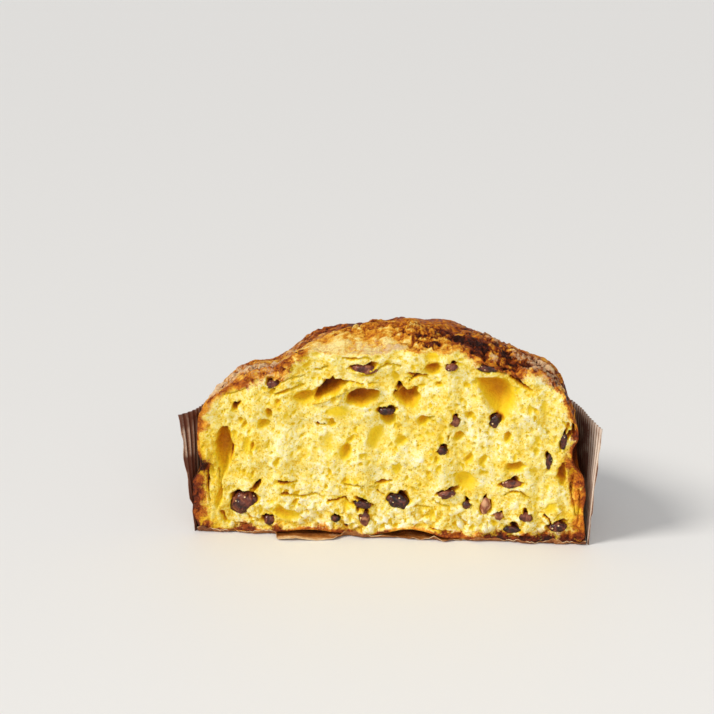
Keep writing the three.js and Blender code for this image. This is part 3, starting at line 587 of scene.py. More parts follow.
# leans and swells the plain round shape, whose middle is at x 0 and y 0, then roughens it
def bakeShape(points):
    plan = loafPlan
    x, y, z = points.T.copy()
    angle = np.arctan2(y, x)
    rho = np.hypot(x, y) / plan["radius"]
    up = np.clip(z / plan["shoulder"], 0, 1)
    right = np.clip(np.cos(angle), 0, None) ** 2
    left = np.clip(-np.cos(angle), 0, None) ** 2
    slow = plan["leanLeft"] * left + plan["leanBack"] * (1 - right - left)
    lean = plan["leanRight"] * right * up + slow * up ** 1.5
    x = x - lean * rho * np.cos(angle)
    y = y - lean * rho * np.sin(angle) + plan["middleBehindCut"]
    onTop = ramp(plan["shoulder"], plan["shoulder"] + 16, z)
    below = 1 - ramp(plan["floor"], 12, z)
    z = z + onTop * (swell(crustSwells, x, y) + wrinkle(x, y)) + below * swell(bottomArches, x, y)
    shaped = np.stack([x, y, z], 1)
    upward = ramp(60, 92, z)
    outward = np.stack([np.cos(angle) * (1 - upward), np.sin(angle) * (1 - upward), upward], 1)
    for lobe in crustLobes:
        near = np.exp(-((z - lobe["z"]) / lobe["tall"]) ** 4 - (y / lobe["deep"]) ** 2)
        shaped[:, 0] += lobe["side"] * lobe["out"] * near * (np.sign(x) == lobe["side"])
    return shaped + outward * crustRelief(shaped)[:, None]


# sizes of the crust's flakes, ridges and crumbs across it in mm, and how far it swells and crackles
flakePlan = {
    "plate": 6.2, "bend": 3.4, "bendSize": 5.0, "ridge": 4.6, "crumb": 2.6, "swell": 0.5, "swellSize": 9.0,
    "crackle": 1.15, "grain": 0.06, "grainSize": 3.0,
}


# loose flakes: how far each stands up or lies low, and the crevices between them
def crustFlakes(points):
    plan = flakePlan
    bend = np.stack([softNoise(points, plan["bendSize"], 95 + axis, 3) for axis in range(3)], 1)
    gap, height = plateNoise(points + bend * plan["bend"], plan["plate"], 83)
    crevice = ramp(0.26, 0.02, gap)
    ridged = 1 - 2.4 * np.abs(softNoise(points, plan["ridge"], 89, 3))
    broken = softNoise(points, plan["crumb"], 93, 3)
    return 0.9 * height - crevice + 0.6 * ridged + 1.2 * broken, crevice


def crustRelief(points):
    plan = flakePlan
    crag = crustCrag(points) * (0.22 + 0.78 * ramp(60, 76, points[:, 2]))
    relief = plan["swell"] * softNoise(points, plan["swellSize"], 3, 2)
    relief += crag * plan["crackle"] * crustFlakes(points)[0]
    return relief + plan["grain"] * softNoise(points, plan["grainSize"], 7, 2)


# how crackled the crust is
def crustCrag(points):
    x, y, z = points.T
    high = ramp(60, 76, z)
    top = 0.35 - 0.15 * ramp(24, 44, y) + 0.3 * softNoise(points, 24, 91) + patchValue("crag", x, y)
    return np.clip(top * high + 0.3 * (1 - high), 0.03, 1.15)


browning = {
    "top": 0.28, "back": 0.27, "right": 0.06, "side": 0.36, "sideBack": 0.16, "shoulder": 0.25,
    "rightGapShade": 0.34,
}


# how far the crust has browned, from 0 for pale dough to 1 for burnt, with painted shade in crevices and in the
# gap by the paper on the right, and painted light on raised flakes
def crustTone(points):
    x, y, z = points.T
    high = ramp(58, 74, z)
    plan = browning
    tone = plan["top"] + plan["back"] * ramp(24, 46, y) + plan["right"] * ramp(20, 70, x)
    tone += 0.16 * softNoise(points, 28.0, 13, 2) * ramp(22, 40, y)
    tone += patchValue("tone", x, y)
    flake, crevice = crustFlakes(points)
    # painted shade in the crevices and on low flakes, painted light on raised flakes
    tone += crustCrag(points) * (-0.03 - 0.17 * flake + 0.24 * crevice)
    side = plan["side"] + plan["sideBack"] * ramp(8, 30, y) + 0.2 * softNoise(points, 14.0, 19, 2)
    side += plan["shoulder"] * np.exp(-((z - 62) / 8) ** 2)
    # painted shade on the right side below the shoulder, in the gap between loaf and paper
    side += plan["rightGapShade"] * np.exp(-((z - 52) / 13) ** 2) * ramp(0, 5, y) * (x > 0)
    tone = tone * high + side * (1 - high)
    return np.clip(tone + 0.07 * softNoise(points, 6.0, 17, 2), 0.02, 0.98)


# how much dry pale skin covers the crust, more on raised flakes, where it is also painted light on their tops
def crustDust(points):
    x, y, z = points.T
    dust = patchValue("dust", x, y) * ramp(56, 70, z)
    dust += 0.3 * ramp(0.1, 0.6, softNoise(points, 18.0, 29, 2)) * ramp(24, 50, y)
    # paler on raised flakes: dry skin with painted light on their tops
    dust *= 1 + 0.6 * crustCrag(points) * crustFlakes(points)[0]
    return np.clip(dust + 0.1 * softNoise(points, 3.0, 27, 2), 0, 1)


# the share of the way from a pore's bottom, 0, to its rim, 1, for points near it
def shareInOutline(x, z, corners, wall):
    inside = np.zeros(len(x), dtype=bool)
    nearest = np.full(len(x), 99.0)
    for (ax, az), (bx, bz) in zip(corners, np.roll(corners, -1, axis=0)):
        crosses = (az > z) != (bz > z)
        height = bz - az if bz != az else 1e-9
        inside ^= crosses & (x < (bx - ax) * (z - az) / height + ax)
        nearest = np.minimum(nearest, distanceToLine(x, z, (ax, az), (bx, bz)))
    return np.where(inside, 1 - np.clip(nearest / wall, 0, 1), 2.0)


def pairs(values):
    return np.reshape(values, (-1, 2))


def distanceToLine(x, z, start, end):
    dx, dz = end[0] - start[0], end[1] - start[1]
    along = np.clip(((x - start[0]) * dx + (z - start[1]) * dz) / (dx * dx + dz * dz + 1e-9), 0, 1)
    return np.hypot(x - start[0] - along * dx, z - start[1] - along * dz)


def shareInOval(x, z, oval):
    lean = math.radians(oval["lean"])
    dx, dz = x - oval["x"], z - oval["z"]
    u = (dx * math.cos(lean) + dz * math.sin(lean)) / (oval["width"] / 2)
    v = (dz * math.cos(lean) - dx * math.sin(lean)) / (oval["height"] / 2)
    angle = np.arctan2(v, u)
    rim = 1.0
    for lobe, weight in ((2, 0.5), (3, 0.6), (5, 0.4)):
        rim = rim + oval["jag"] * weight * np.sin(lobe * angle + oval["x"] * (lobe + 0.7))
    return np.hypot(u, v) / rim


# sinks a bowl where q, the share of the way to the rim, is below 1, and paints shade in it, darkest in the middle
# and on its side away from the light
def sinkPore(state, close, q, depth, dark, centre, smooth=False):
    inner, q = close[q < 1], q[q < 1]
    bowl, fade = np.cos(q * np.pi / 2), state["fade"][inner]
    lit = ((state["x"][inner] - centre[0]) - (state["z"][inner] - centre[1])) / (depth * 2.5 + 2)
    shade = dark * np.clip(bowl ** 0.45 * (1 - 0.5 * np.clip(lit, -0.6, 1.3)), 0, 1) * fade
    layers = {"dark": shade, "depth": bowl ** 0.9 * fade * depth}
    if smooth:
        layers["smooth"] = ramp(0, 0.5, 1 - q)
    for name, value in layers.items():
        state[name][inner] = np.maximum(state[name][inner], value)


# the points in a box round the given ones, and where they are once torn
def nearBox(state, points, margin, warp):
    low, high = np.min(points, axis=0) - margin, np.max(points, axis=0) + margin
    x, z = state["x"], state["z"]
    close = np.flatnonzero((x > low[0]) & (x < high[0]) & (z > low[1]) & (z < high[1]))
    return close, x[close] + warp * state["tearX"][close], z[close] + warp * state["tearZ"][close]


def openOutline(state, pore):
    outline = pairs(pore["outline"])
    close, x, z = nearBox(state, outline, 2.5, 0.1 + pore["jag"] * 1.9)
    q = shareInOutline(x, z, outline, pore["wall"])
    sinkPore(state, close, q, pore["depth"], pore["dark"], np.mean(outline, axis=0), pore.get("smooth", False))


def openOval(state, oval):
    centre, sizes = (oval["x"], oval["z"]), (oval["width"], oval["height"])
    close, x, z = nearBox(state, [centre], 0.8 * max(sizes), oval["jag"] * min(sizes) * 0.5)
    sinkPore(state, close, shareInOval(x, z, oval), oval["depth"], oval["dark"], centre)


def openCrack(state, crack):
    points, depth = pairs(crack["points"]), crack["depth"]
    close, x, z = nearBox(state, points, crack["width"] + 1, 0.5)
    q = np.full(len(close), 9.0)
    for start, end in zip(points, points[1:]):
        q = np.minimum(q, distanceToLine(x, z, start, end) / (crack["width"] / 2))
    q = q / (0.62 + 0.55 * state["comeAndGo"][close])
    if depth > 0:
        sinkPore(state, close, q, depth, crack["dark"], np.mean(points, axis=0))
    else:
        state["fold"][close] = np.minimum(state["fold"][close], depth * np.exp(-q ** 2) * state["fade"][close])


# a grid of points between the outline's left, top and right and the bottom edge
def buildFace():
    across, up = faceGrid["across"], faceGrid["up"]
    turn = -math.asin(loafPlan["middleBehindCut"] / loafPlan["radius"])
    s, t = np.linspace(0, 1, across + 1), np.linspace(0, 1, up + 1)
    edgeShare = np.concatenate([t, 1 + s[1:], 2 + t[1:]])
    outline = bakeShape(sectionPoints(turn, edgeShare))
    left, top, right = outline[:up + 1], outline[up:up + across + 1], outline[up + across:][::-1]
    low, high = left[0], right[0]
    bottomX = low[0] + (high[0] - low[0]) * s
    arch = swell(bottomArches, bottomX, np.zeros_like(bottomX))
    bottom = np.stack([bottomX, np.zeros_like(s), loafPlan["floor"] + arch], 1)
    bottom[0], bottom[-1] = low, high
    S, T = s[None, :, None], t[:, None, None]
    grid = (1 - S) * left[:, None] + S * right[:, None] + (1 - T) * bottom[None] + T * top[None]
    grid -= (1 - S) * (1 - T) * low + S * (1 - T) * high + (1 - S) * T * top[0] + S * T * top[-1]
    return grid.reshape(-1, 3), edgeShare


# the mean over a square of neighbours in the face's grid
def blurRows(values, reach):
    rows, columns = faceNumber.shape
    grid = np.pad(values.reshape(rows, columns), reach, mode="edge")
    total = np.zeros((rows, columns))
    for i, j in itertools.product(range(2 * reach + 1), repeat=2):
        total += grid[i:i + rows, j:j + columns]
    return (total / (2 * reach + 1) ** 2).ravel()


# how far each point of the face is from its edge, and the nearest point of the edge
def edgeDistance(flat):
    border = np.concatenate([faceNumber[0], faceNumber[-1], faceNumber[:, 0], faceNumber[:, -1]])
    tree = kdtree.KDTree(len(border))
    for i in border:
        tree.insert(flat[i], int(i))
    tree.balance()
    found = [tree.find(p) for p in flat]
    return np.array([f[2] for f in found]), flat[[f[1] for f in found]]


smallPores = {"seed": 7, "fromLeft": -103, "toRight": 104, "fromLow": 4, "toHigh": 108, "sizes": rowsOf(
    "size count dark", (5, 34, 0.36), (3.4, 140, 0.36), (2.4, 320, 0.3), (1.7, 620, 0.32),
)}


# pores too many to place one by one, each with painted shade; the wider ones keep off the large pores and the
# raisins
def scatterPores(state):
    plan = smallPores
    dice = np.random.default_rng(plan["seed"])
    named = [(*np.mean(pairs(p["outline"]), axis=0), 6.0) for p in pores]
    named += [(r["x"], r["z"], max(r["width"], r["height"]) / 2) for r in raisins]
    for size, count, dark in (row.values() for row in plan["sizes"]):
        for _ in range(count):
            x = dice.uniform(plan["fromLeft"], plan["toRight"])
            z = dice.uniform(plan["fromLow"], plan["toHigh"])
            width, stretchUp = size * dice.uniform(0.5, 1.1), dice.uniform(1.0, 2.0)
            lean, depthShare, shade = dice.normal(0, 24), dice.uniform(0.3, 0.8), dark * dice.uniform(0.5, 1.35)
            if size > 3 and any(math.hypot(x - nx, z - nz) < reach + size * 0.6 for nx, nz, reach in named):
                continue
            along = 90 * ramp(30, 70, math.hypot(x, (z - 30) * 1.3)) * (1 if x < 0 else -1) * ramp(45, 95, z)
            openOval(state, {
                "x": x, "z": z, "width": width, "height": width * stretchUp, "depth": width * depthShare,
                "lean": lean - along * 0.8, "jag": 0.22, "dark": shade,
            })


# a pocket round each raisin, set a little above it, darkened with painted shade round the raisin
def openPocket(state, raisin):
    size = min(raisin["width"], raisin["height"])
    openOval(state, {
        "x": raisin["x"] + 0.1, "z": raisin["z"] + 0.12 * size, "lean": raisin["lean"], "dark": 0.98,
        "width": raisin["width"] * 0.98 + 0.2, "height": raisin["height"] * 1.05 + 0.4,
        "depth": 0.4 * size + 2.4, "jag": min(0.5, 2.4 / size),
    })


# how far each kind of roughness stands out and how large it is across, in mm; low is the part near the base
crumbPlan = {
    "lumps": 0.6, "torn": 0.6, "fibres": 0.3, "crumbs": 0.2, "lowCrumbs": 0.6, "lowCurds": 1.1, "stripes": 1.2,
    "lumpSize": 8.0, "tornSize": 3.0, "fibreSize": 2.3, "crumbSize": 4.4, "curdSize": 8.0, "stripeSize": 2.6,
}


# opens the pores in the face and roughens it; also returns the shade painted in its pores, the painted light and
# shade from how high each place stands mixed with the crumb's own tone, where the rind is and how brown it is
def crumbRelief(points):
    plan = crumbPlan
    x, z = points[:, 0], points[:, 2]
    blank = np.zeros_like(x)
    flat = np.stack([x, blank, z], 1)
    fromEdge, edgePoint = edgeDistance(flat)
    state = {name: blank.copy() for name in ("depth", "dark", "smooth", "fold")}
    state.update({
        "x": x, "z": z, "fade": ramp(0.2, 2.4, fromEdge), "comeAndGo": softNoise(flat, 4.0, 49, 2),
        "tearX": softNoise(flat, plan["tornSize"], 45, 3), "tearZ": softNoise(flat, plan["tornSize"], 47, 3),
    })
    scatterPores(state)
    steps = ((openOutline, pores), (openOval, ovalPores), (openCrack, cracks), (openPocket, raisins))
    for carve, features in steps:
        for feature in features:
            carve(state, feature)
    soft = blurRows(blurRows(state["depth"], 3), 3)
    state["depth"] += state["smooth"] * (soft - state["depth"])
    low = ramp(30, 8, z)
    lumps = softNoise(flat, plan["lumpSize"], 33, 2)
    torn = softNoise(flat, plan["tornSize"], 31, 3)
    fibres = 1 - np.abs(softNoise(flat * [1, 1, 0.6], plan["fibreSize"], 37, 2)) * 2
    bent = flat + np.stack([state["tearX"], blank, state["tearZ"]], 1) * 1.4
    gap, height = plateNoise(bent, plan["crumbSize"], 53)
    wideGap, wideHeight = plateNoise(bent, plan["curdSize"], 57)
    crumbs = 0.5 * height + 0.7 * ramp(0.5, 0.0, gap)
    curds = 0.9 * wideHeight + ramp(0.4, 0.0, wideGap)
    relief = plan["lumps"] * lumps + plan["torn"] * torn + plan["fibres"] * fibres
    relief = relief + (plan["crumbs"] + plan["lowCrumbs"] * low) * crumbs + plan["lowCurds"] * low * curds
    # near the paper the crumb is dense and waxy, with stripes that run up
    waxy = np.clip(ramp(-84, -95, x) * ramp(70, 50, z) + 0.8 * ramp(94, 101, x) * ramp(56, 40, z), 0, 1)
    drawnUp = flat * [1, 1, 0.2] + np.stack([state["tearX"], blank, blank], 1) * 0.8
    stripes = softNoise(drawnUp, plan["stripeSize"], 63, 2)
    relief = relief * (1 - 0.75 * waxy) + plan["stripes"] * waxy * stripes
    calm = state["fade"] * np.exp(-state["depth"] / 2.0) * (1 - 0.9 * state["smooth"])
    relief = relief * calm
    depth = state["depth"] + relief + state["fold"]
    shaped = points.copy()
    shaped[:, 1] = cutDepth(x, z) + depth + 0.35 * (1 - state["fade"]) * torn
    shaped[:, 2] += 0.24 * state["depth"]
    # painted light where the crumb stands out and painted shade in the pores' hollows, with the crumb's own tone:
    # golden on smooth skins, folds and waxy crumb, paler low down; darker near the side edges
    raised = (blurRows(relief, 4) - relief) * 0.8 + (blurRows(relief, 2) - relief) * 0.6
    sunken = np.clip(state["depth"] - blurRows(state["depth"], 3), 0, None)
    sides = np.exp(-fromEdge / 7) * ramp(74, 50, edgePoint[:, 2]) * ramp(92, 100, np.abs(edgePoint[:, 0]))
    reliefShadeAndTone = 0.5 + 0.36 * raised - 0.2 * sunken - 0.14 * state["smooth"] - 0.2 * sides - 0.16 * waxy
    reliefShadeAndTone = reliefShadeAndTone + 0.05 * low * (1 - waxy) + 0.09 * state["fold"]
    # the rind is as wide as rindTop says along the top, thin at the sides and thicker along the base
    edgeX, edgeZ = edgePoint[:, 0], edgePoint[:, 2]
    width = np.interp(edgeX, *np.array(rindTop).T)
    onTop = ramp(60, 72, edgeZ)
    bottom = ramp(6, 2, edgeZ) * ramp(104, 98, np.abs(edgeX))
    width = width * onTop + 1.3 * (1 - onTop)
    width = width * (1 - bottom) + (1.5 + 0.9 * ramp(10, 40, edgeX)) * bottom
    width = width * np.clip(1 + 0.75 * softNoise(edgePoint, 6.0, 67, 3), 0.35, 2.2)
    rind = np.clip(1 - fromEdge / (1.9 * width), 0, 1)
    browned = 0.4 * ramp(0.5, 2.2, width) * rind ** 1.5
    return shaped, state["dark"], np.clip(reliefShadeAndTone, 0, 1), rind, browned


# faces between two rows of points that differ in number, each stepped on by its share of the way
def zipRows(rowA, rowB, shareA, shareB):
    faces = []
    i = j = 0
    while i < len(rowA) - 1 or j < len(rowB) - 1:
        if j == len(rowB) - 1 or (i < len(rowA) - 1 and shareA[i + 1] <= shareB[j + 1]):
            faces.append((rowA[i], rowA[i + 1], rowB[j]))
            i += 1
        else:
            faces.append((rowB[j + 1], rowB[j], rowA[i]))
            j += 1
    return faces


def quadRows(number):
    corners = np.stack([number[:-1, :-1], number[:-1, 1:], number[1:, 1:], number[1:, :-1]], -1)
    return corners.reshape(-1, 4).tolist()


def buildSkin():
    plan, radius = skinGrid, loafPlan["radius"]
    middle = loafPlan["middleBehindCut"]
    fine = np.arange(plan["seam"], plan["fineTo"], plan["fineStep"])
    turns = list(np.arcsin((fine - middle) / radius))
    turns += list(np.linspace(turns[-1], np.pi / 2, plan["coarseSteps"] + 1)[1:])
    side, top = np.linspace(0, 1, plan["side"] + 1), np.linspace(0, 1, plan["top"] + 1)
    share = np.concatenate([side, 1 + top[1:], 2 + side[1:]])
    flat = bakeShape(np.concatenate([sectionPoints(turn, share) for turn in turns]))
    flat[:, 1] += cutDepth(flat[:, 0], flat[:, 2]) * np.exp(-np.clip(flat[:, 1], 0, None) / 8)
    return flat.reshape(len(turns), len(share), 3), share


def setLayer(mesh, name, values):
    layer = mesh.attributes.new(name, "FLOAT", "POINT")
    layer.data.foreach_set("value", np.asarray(values, dtype=np.float32))


def makeLoaf():
    facePoints, edgeShare = buildFace()
    facePoints, dark, reliefShadeAndTone, rind, browned = crumbRelief(facePoints)
    skin, skinShare = buildSkin()
    sections, around = skin.shape[:2]
    face = faceNumber
    skinNumber = face.size + np.arange(sections * around).reshape(sections, around)
    bottomShare = np.linspace(0, 1, skinGrid["bottom"] + 1)
    inner = bottomShare[1:-1]
    left, right = skin[:, 0], skin[:, -1]
    bottomX = left[:, :1] + (right[:, :1] - left[:, :1]) * inner
    bottomY = np.repeat(left[:, 1:2], len(inner), axis=1)
    bottomZ = loafPlan["floor"] + swell(bottomArches, bottomX, bottomY)
    bottomPoints = np.stack([bottomX, bottomY, bottomZ], -1).reshape(-1, 3)
    bottomInner = face.size + skinNumber.size + np.arange(sections * len(inner)).reshape(sections, len(inner))
    bottom = np.concatenate([skinNumber[:, :1], bottomInner, skinNumber[:, -1:]], 1)
    border = np.concatenate([face[:, 0], face[-1, 1:], face[::-1, -1][1:]])
    crumbFaces = quadRows(face)
    seamFaces = zipRows(border.tolist(), skinNumber[0].tolist(), edgeShare, skinShare)
    seamFaces += zipRows(face[0].tolist(), bottom[0].tolist(), np.linspace(0, 1, face.shape[1]), bottomShare)
    skinFaces = quadRows(skinNumber) + quadRows(bottom)
    # the face's points come first in the mesh and in every layer
    points = np.concatenate([facePoints, skin.reshape(-1, 3), bottomPoints])
    mesh = bpy.data.meshes.new("loaf_baked")
    mesh.from_pydata(toFrame(points).tolist(), [], crumbFaces + seamFaces + skinFaces)
    mesh.materials.append(crumbMaterial)
    mesh.materials.append(crustMaterial)
    # all but the face is crust
    material = np.ones(len(mesh.polygons), dtype=np.int32)
    material[:len(crumbFaces)] = 0
    mesh.polygons.foreach_set("material_index", material)
    rest = len(points) - face.size
    tone = crustTone(points)
    edgeTone = 0.12 + 0.24 * ramp(9, 2, facePoints[:, 2]) + browned
    # browner in hollows and paler on raised crumbs: painted shade and painted light
    edgeTone = edgeTone + 0.55 * (tone[:face.size] - 0.33) + 0.35 * (0.5 - reliefShadeAndTone)
    for spot in rindSpots:
        far = ((facePoints[:, 0] - spot["x"]) ** 2 + (facePoints[:, 2] - spot["z"]) ** 2) / spot["reach"] ** 2
        edgeTone += spot["tone"] * np.exp(-far)
        rind = np.maximum(rind, spot["cover"] * np.exp(-far))
    tone[:face.size] = np.clip(edgeTone, 0.02, 0.98)
    crag = crustCrag(points)
    crag[:face.size] = np.maximum(crag[:face.size], 0.7 * rind)
    # pore is the shade painted in the pores; the next layer is painted light and shade from the relief, with the
    # crumb's own tone
    for name, onFace, behind in (("pore", dark, 0.0), ("reliefShadeAndTone", reliefShadeAndTone, 0.5), ("rind", rind, 1.0)):
        setLayer(mesh, name, np.concatenate([onFace, np.full(rest, behind)]))
    for name, values in (("tone", tone), ("dust", crustDust(points)), ("crag", crag)):
        setLayer(mesh, name, values)
    loaf = bpy.data.objects.new("loaf_baked", mesh)
    bpy.context.scene.collection.objects.link(loaf)
    bpy.ops.object.select_all(action="DESELECT")
    bpy.context.view_layer.objects.active = loaf
    loaf.select_set(True)
    bpy.ops.object.mode_set(mode="EDIT")
    bpy.ops.mesh.select_all(action="SELECT")
    bpy.ops.mesh.remove_doubles(threshold=0.00001)
    bpy.ops.mesh.normals_make_consistent(inside=False)
    bpy.ops.object.mode_set(mode="OBJECT")
    bpy.ops.object.shade_smooth()
    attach(loaf, "root")
    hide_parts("loaf")
    return loaf


loaf = makeLoaf()
print("loaf made", sum(len(face.vertices) - 2 for face in loaf.data.polygons))


# raisins: each a ball drawn out, leaned into its pocket, swollen unevenly and creased

# shares of a raisin's smaller size, how far out of its pocket it starts in mm, and the size in mm past
# which its mesh is finer
raisinPlan = {
    "thickness": 0.85, "lumpSize": 0.7, "lump": 0.15, "creaseSize": 0.5, "crease": 0.08,
    "sunk": 0.29, "insideShare": 0.6, "out": 0.4, "low": 0.05, "fineOver": 8,
}
lumpTexture = bpy.data.textures.new("sultana_lumps", "CLOUDS")
foldTexture = bpy.data.textures.new("sultana_creases", "MUSGRAVE")
foldTexture.musgrave_type = "RIDGED_MULTIFRACTAL"
foldTexture.octaves = 1.5


def pressTexture(piece, texture, size, strength):
    texture.noise_scale = size / 1000
    modifier = piece.modifiers.new("press", "DISPLACE")
    modifier.texture = texture
    modifier.texture_coords = "LOCAL"
    modifier.mid_level = 0.5
    modifier.strength = strength / 1000
    bpy.ops.object.modifier_apply(modifier=modifier.name)


def makeRaisin(number, raisin):
    plan = raisinPlan
    size = min(raisin["width"], raisin["height"])
    depth = cutDepth(np.array([float(raisin["x"])]), np.array([float(raisin["z"])]))[0]
    depth = depth + plan["insideShare"] * raisin["inside"] + plan["sunk"] * size - plan["out"]
    place = toFrame([(raisin["x"], depth, raisin["z"] - plan["low"] * size)])[0]
    bpy.ops.object.select_all(action="DESELECT")
    fineness = 5 if size > plan["fineOver"] else 4
    bpy.ops.mesh.primitive_ico_sphere_add(subdivisions=fineness, radius=0.5, location=place)
    piece = bpy.context.object
    piece.name = piece.data.name = "sultana_%02d" % number
    piece.scale = (raisin["width"] / 1000, plan["thickness"] * size / 1000, raisin["height"] / 1000)
    piece.rotation_euler = (0, -math.radians(raisin["lean"]), 0)
    bpy.ops.object.transform_apply(location=True, rotation=True, scale=True)
    pressTexture(piece, lumpTexture, plan["lumpSize"] * size, plan["lump"] * size)
    pressTexture(piece, foldTexture, plan["creaseSize"] * size, -plan["crease"] * size)
    setLayer(piece.data, "shade", np.full(len(piece.data.vertices), raisin["shade"]))
    bpy.ops.object.shade_smooth()
    piece.data.materials.append(skinMaterial)
    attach(piece, "root")
    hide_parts("raisin_%02d" % number)


for number, raisin in enumerate(raisins, 1):
    makeRaisin(number, raisin)
print("raisins made")


# paper case: a ribbed strip bent round the loaf, and the sheet below it

wallGrid = {
    "perRib": 10, "rows": 18, "thickness": 0.35, "wobble": 0.5, "wobbleSize": 26.0, "ragged": 1.2,
    "raggedSize": 4.0, "rim": 0.5, "rimSize": 14.0,
}
sheetGrid = {
    "across": 260, "back": 70, "thickness": 0.3, "flap": 6.8, "curl": 1.6, "lip": 3.2, "lift": 0.25,
    "raggedSize": 7.0, "frayedSize": 2.4, "creaseSize": 8.0, "crease": 0.5,
}


def meshPoints(mesh):
    points = np.empty(len(mesh.vertices) * 3)
    mesh.vertices.foreach_get("co", points)
    return points.reshape(-1, 3)


def thicken(piece, thickness):
    modifier = piece.modifiers.new("thickness", "SOLIDIFY")
    modifier.thickness = thickness / 1000
    modifier.offset = 0
    bpy.ops.object.modifier_apply(modifier=modifier.name)


def finishPaper(piece, node, material, ridge):
    setLayer(piece.data, "ridge", ridge)
    piece.data.materials.append(material)
    bpy.ops.object.shade_smooth()
    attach(piece, "root")
    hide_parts(node)


def makeWall():
    plan = casePlan
    start = -math.asin(loafPlan["middleBehindCut"] / plan["radius"])
    length = (math.pi - 2 * start) * plan["radius"]
    ribs = round(length / plan["ribPitch"])
    bpy.ops.object.select_all(action="DESELECT")
    steps = ribs * wallGrid["perRib"]
    bpy.ops.mesh.primitive_grid_add(x_subdivisions=steps, y_subdivisions=wallGrid["rows"], size=2)
    piece = bpy.context.object
    piece.name = piece.data.name = "case_wall_paper"
    grid = meshPoints(piece.data)
    along = (grid[:, 0] + 1) / 2 * length
    z = (grid[:, 1] + 1) / 2 * plan["height"]
    strip = np.stack([along * 0, along * 0, z], 1)
    ends = np.exp(-along / 2.5) - np.exp(-(length - along) / 2.5)
    along = along + ends * wallGrid["ragged"] * (0.4 + softNoise(strip, wallGrid["raggedSize"], 65, 3))
    right = np.clip(1 - along / plan["right"]["reach"], 0, 1) ** 2 * z / plan["height"]
    left = np.clip(1 - (length - along) / plan["left"]["reach"], 0, 1) ** 2 * z / plan["height"]
    ridge = np.cos(2 * np.pi * along / length * ribs)
    angle = start + along / plan["radius"]
    strip = np.stack([along, np.zeros_like(z), z], 1)
    wobble = wallGrid["wobble"] * softNoise(strip, wallGrid["wobbleSize"], 61) * ramp(8, plan["height"], z)
    reach = plan["radius"] + 0.5 * plan["ribDepth"] * ridge
    reach = reach + right * plan["right"]["out"] + left * plan["left"]["out"] + wobble
    rim = ramp(plan["height"] - 12, plan["height"], z) * wallGrid["rim"]
    rim = rim * softNoise(strip, wallGrid["rimSize"], 63, 2)
    z = z + right * plan["right"]["lift"] + left * plan["left"]["lift"] + rim
    points = np.stack([reach * np.cos(angle), loafPlan["middleBehindCut"] + reach * np.sin(angle), z], 1)
    piece.data.vertices.foreach_set("co", toFrame(points).ravel())
    piece.data.update()
    thicken(piece, wallGrid["thickness"])
    placed = meshPoints(piece.data) * 1000 - cutPlace - [0, loafPlan["middleBehindCut"], 0]
    normals = np.empty(len(placed) * 3)
    piece.data.vertices.foreach_get("normal", normals)
    outside = np.sign(np.sum(normals.reshape(-1, 3)[:, :2] * placed[:, :2], axis=1))
    count = len(placed) // len(ridge) + 1
    peakLight = 0.5 + 0.5 * np.tile(ridge, count)[:len(placed)] * outside
    # painted light on the ribs' peaks and painted shade in their grooves, more painted light at the rim and at
    # the right end, grease where butter soaked the paper at the top left, and painted shade on the inner face low
    # down by the loaf
    x, y, z = placed.T
    rimLight = 0.35 * ramp(plan["height"] - 1.6, plan["height"] - 0.2, z)
    # painted light on the inner face at the right end
    rightFillLight = (0.5 * ramp(28, 14, y) - 0.04 * ramp(16, 26, y) * ramp(60, 34, y)) * (x > 0)
    leftTop = ramp(plan["height"] - 10, plan["height"] - 5, z) * ramp(-90, -100, x)
    # the next two are painted shade on the inner face where the loaf shades it
    leftWallShade = ramp(46, 38, z) * ramp(14, 2, y) * (x < 0)
    rightWallShade = ramp(8, 18, y) * ramp(68, 58, z) * ramp(20, 34, z) * (x > 0) * 0.75
    inner = 0.5 - 0.5 * outside
    greaseAndShade = np.clip(0.65 * leftTop + inner * (leftWallShade + rightWallShade), 0, 1)
    setLayer(piece.data, "greaseAndShade", greaseAndShade * np.clip(1 + 0.8 * softNoise(placed, 7.0, 81, 3), 0, 1.6))
    ridge = np.clip(peakLight + rimLight + rightFillLight * (1.4 * peakLight - 0.1), 0.02, 1.2)
    finishPaper(piece, "case_wall", paperMaterial, ridge)


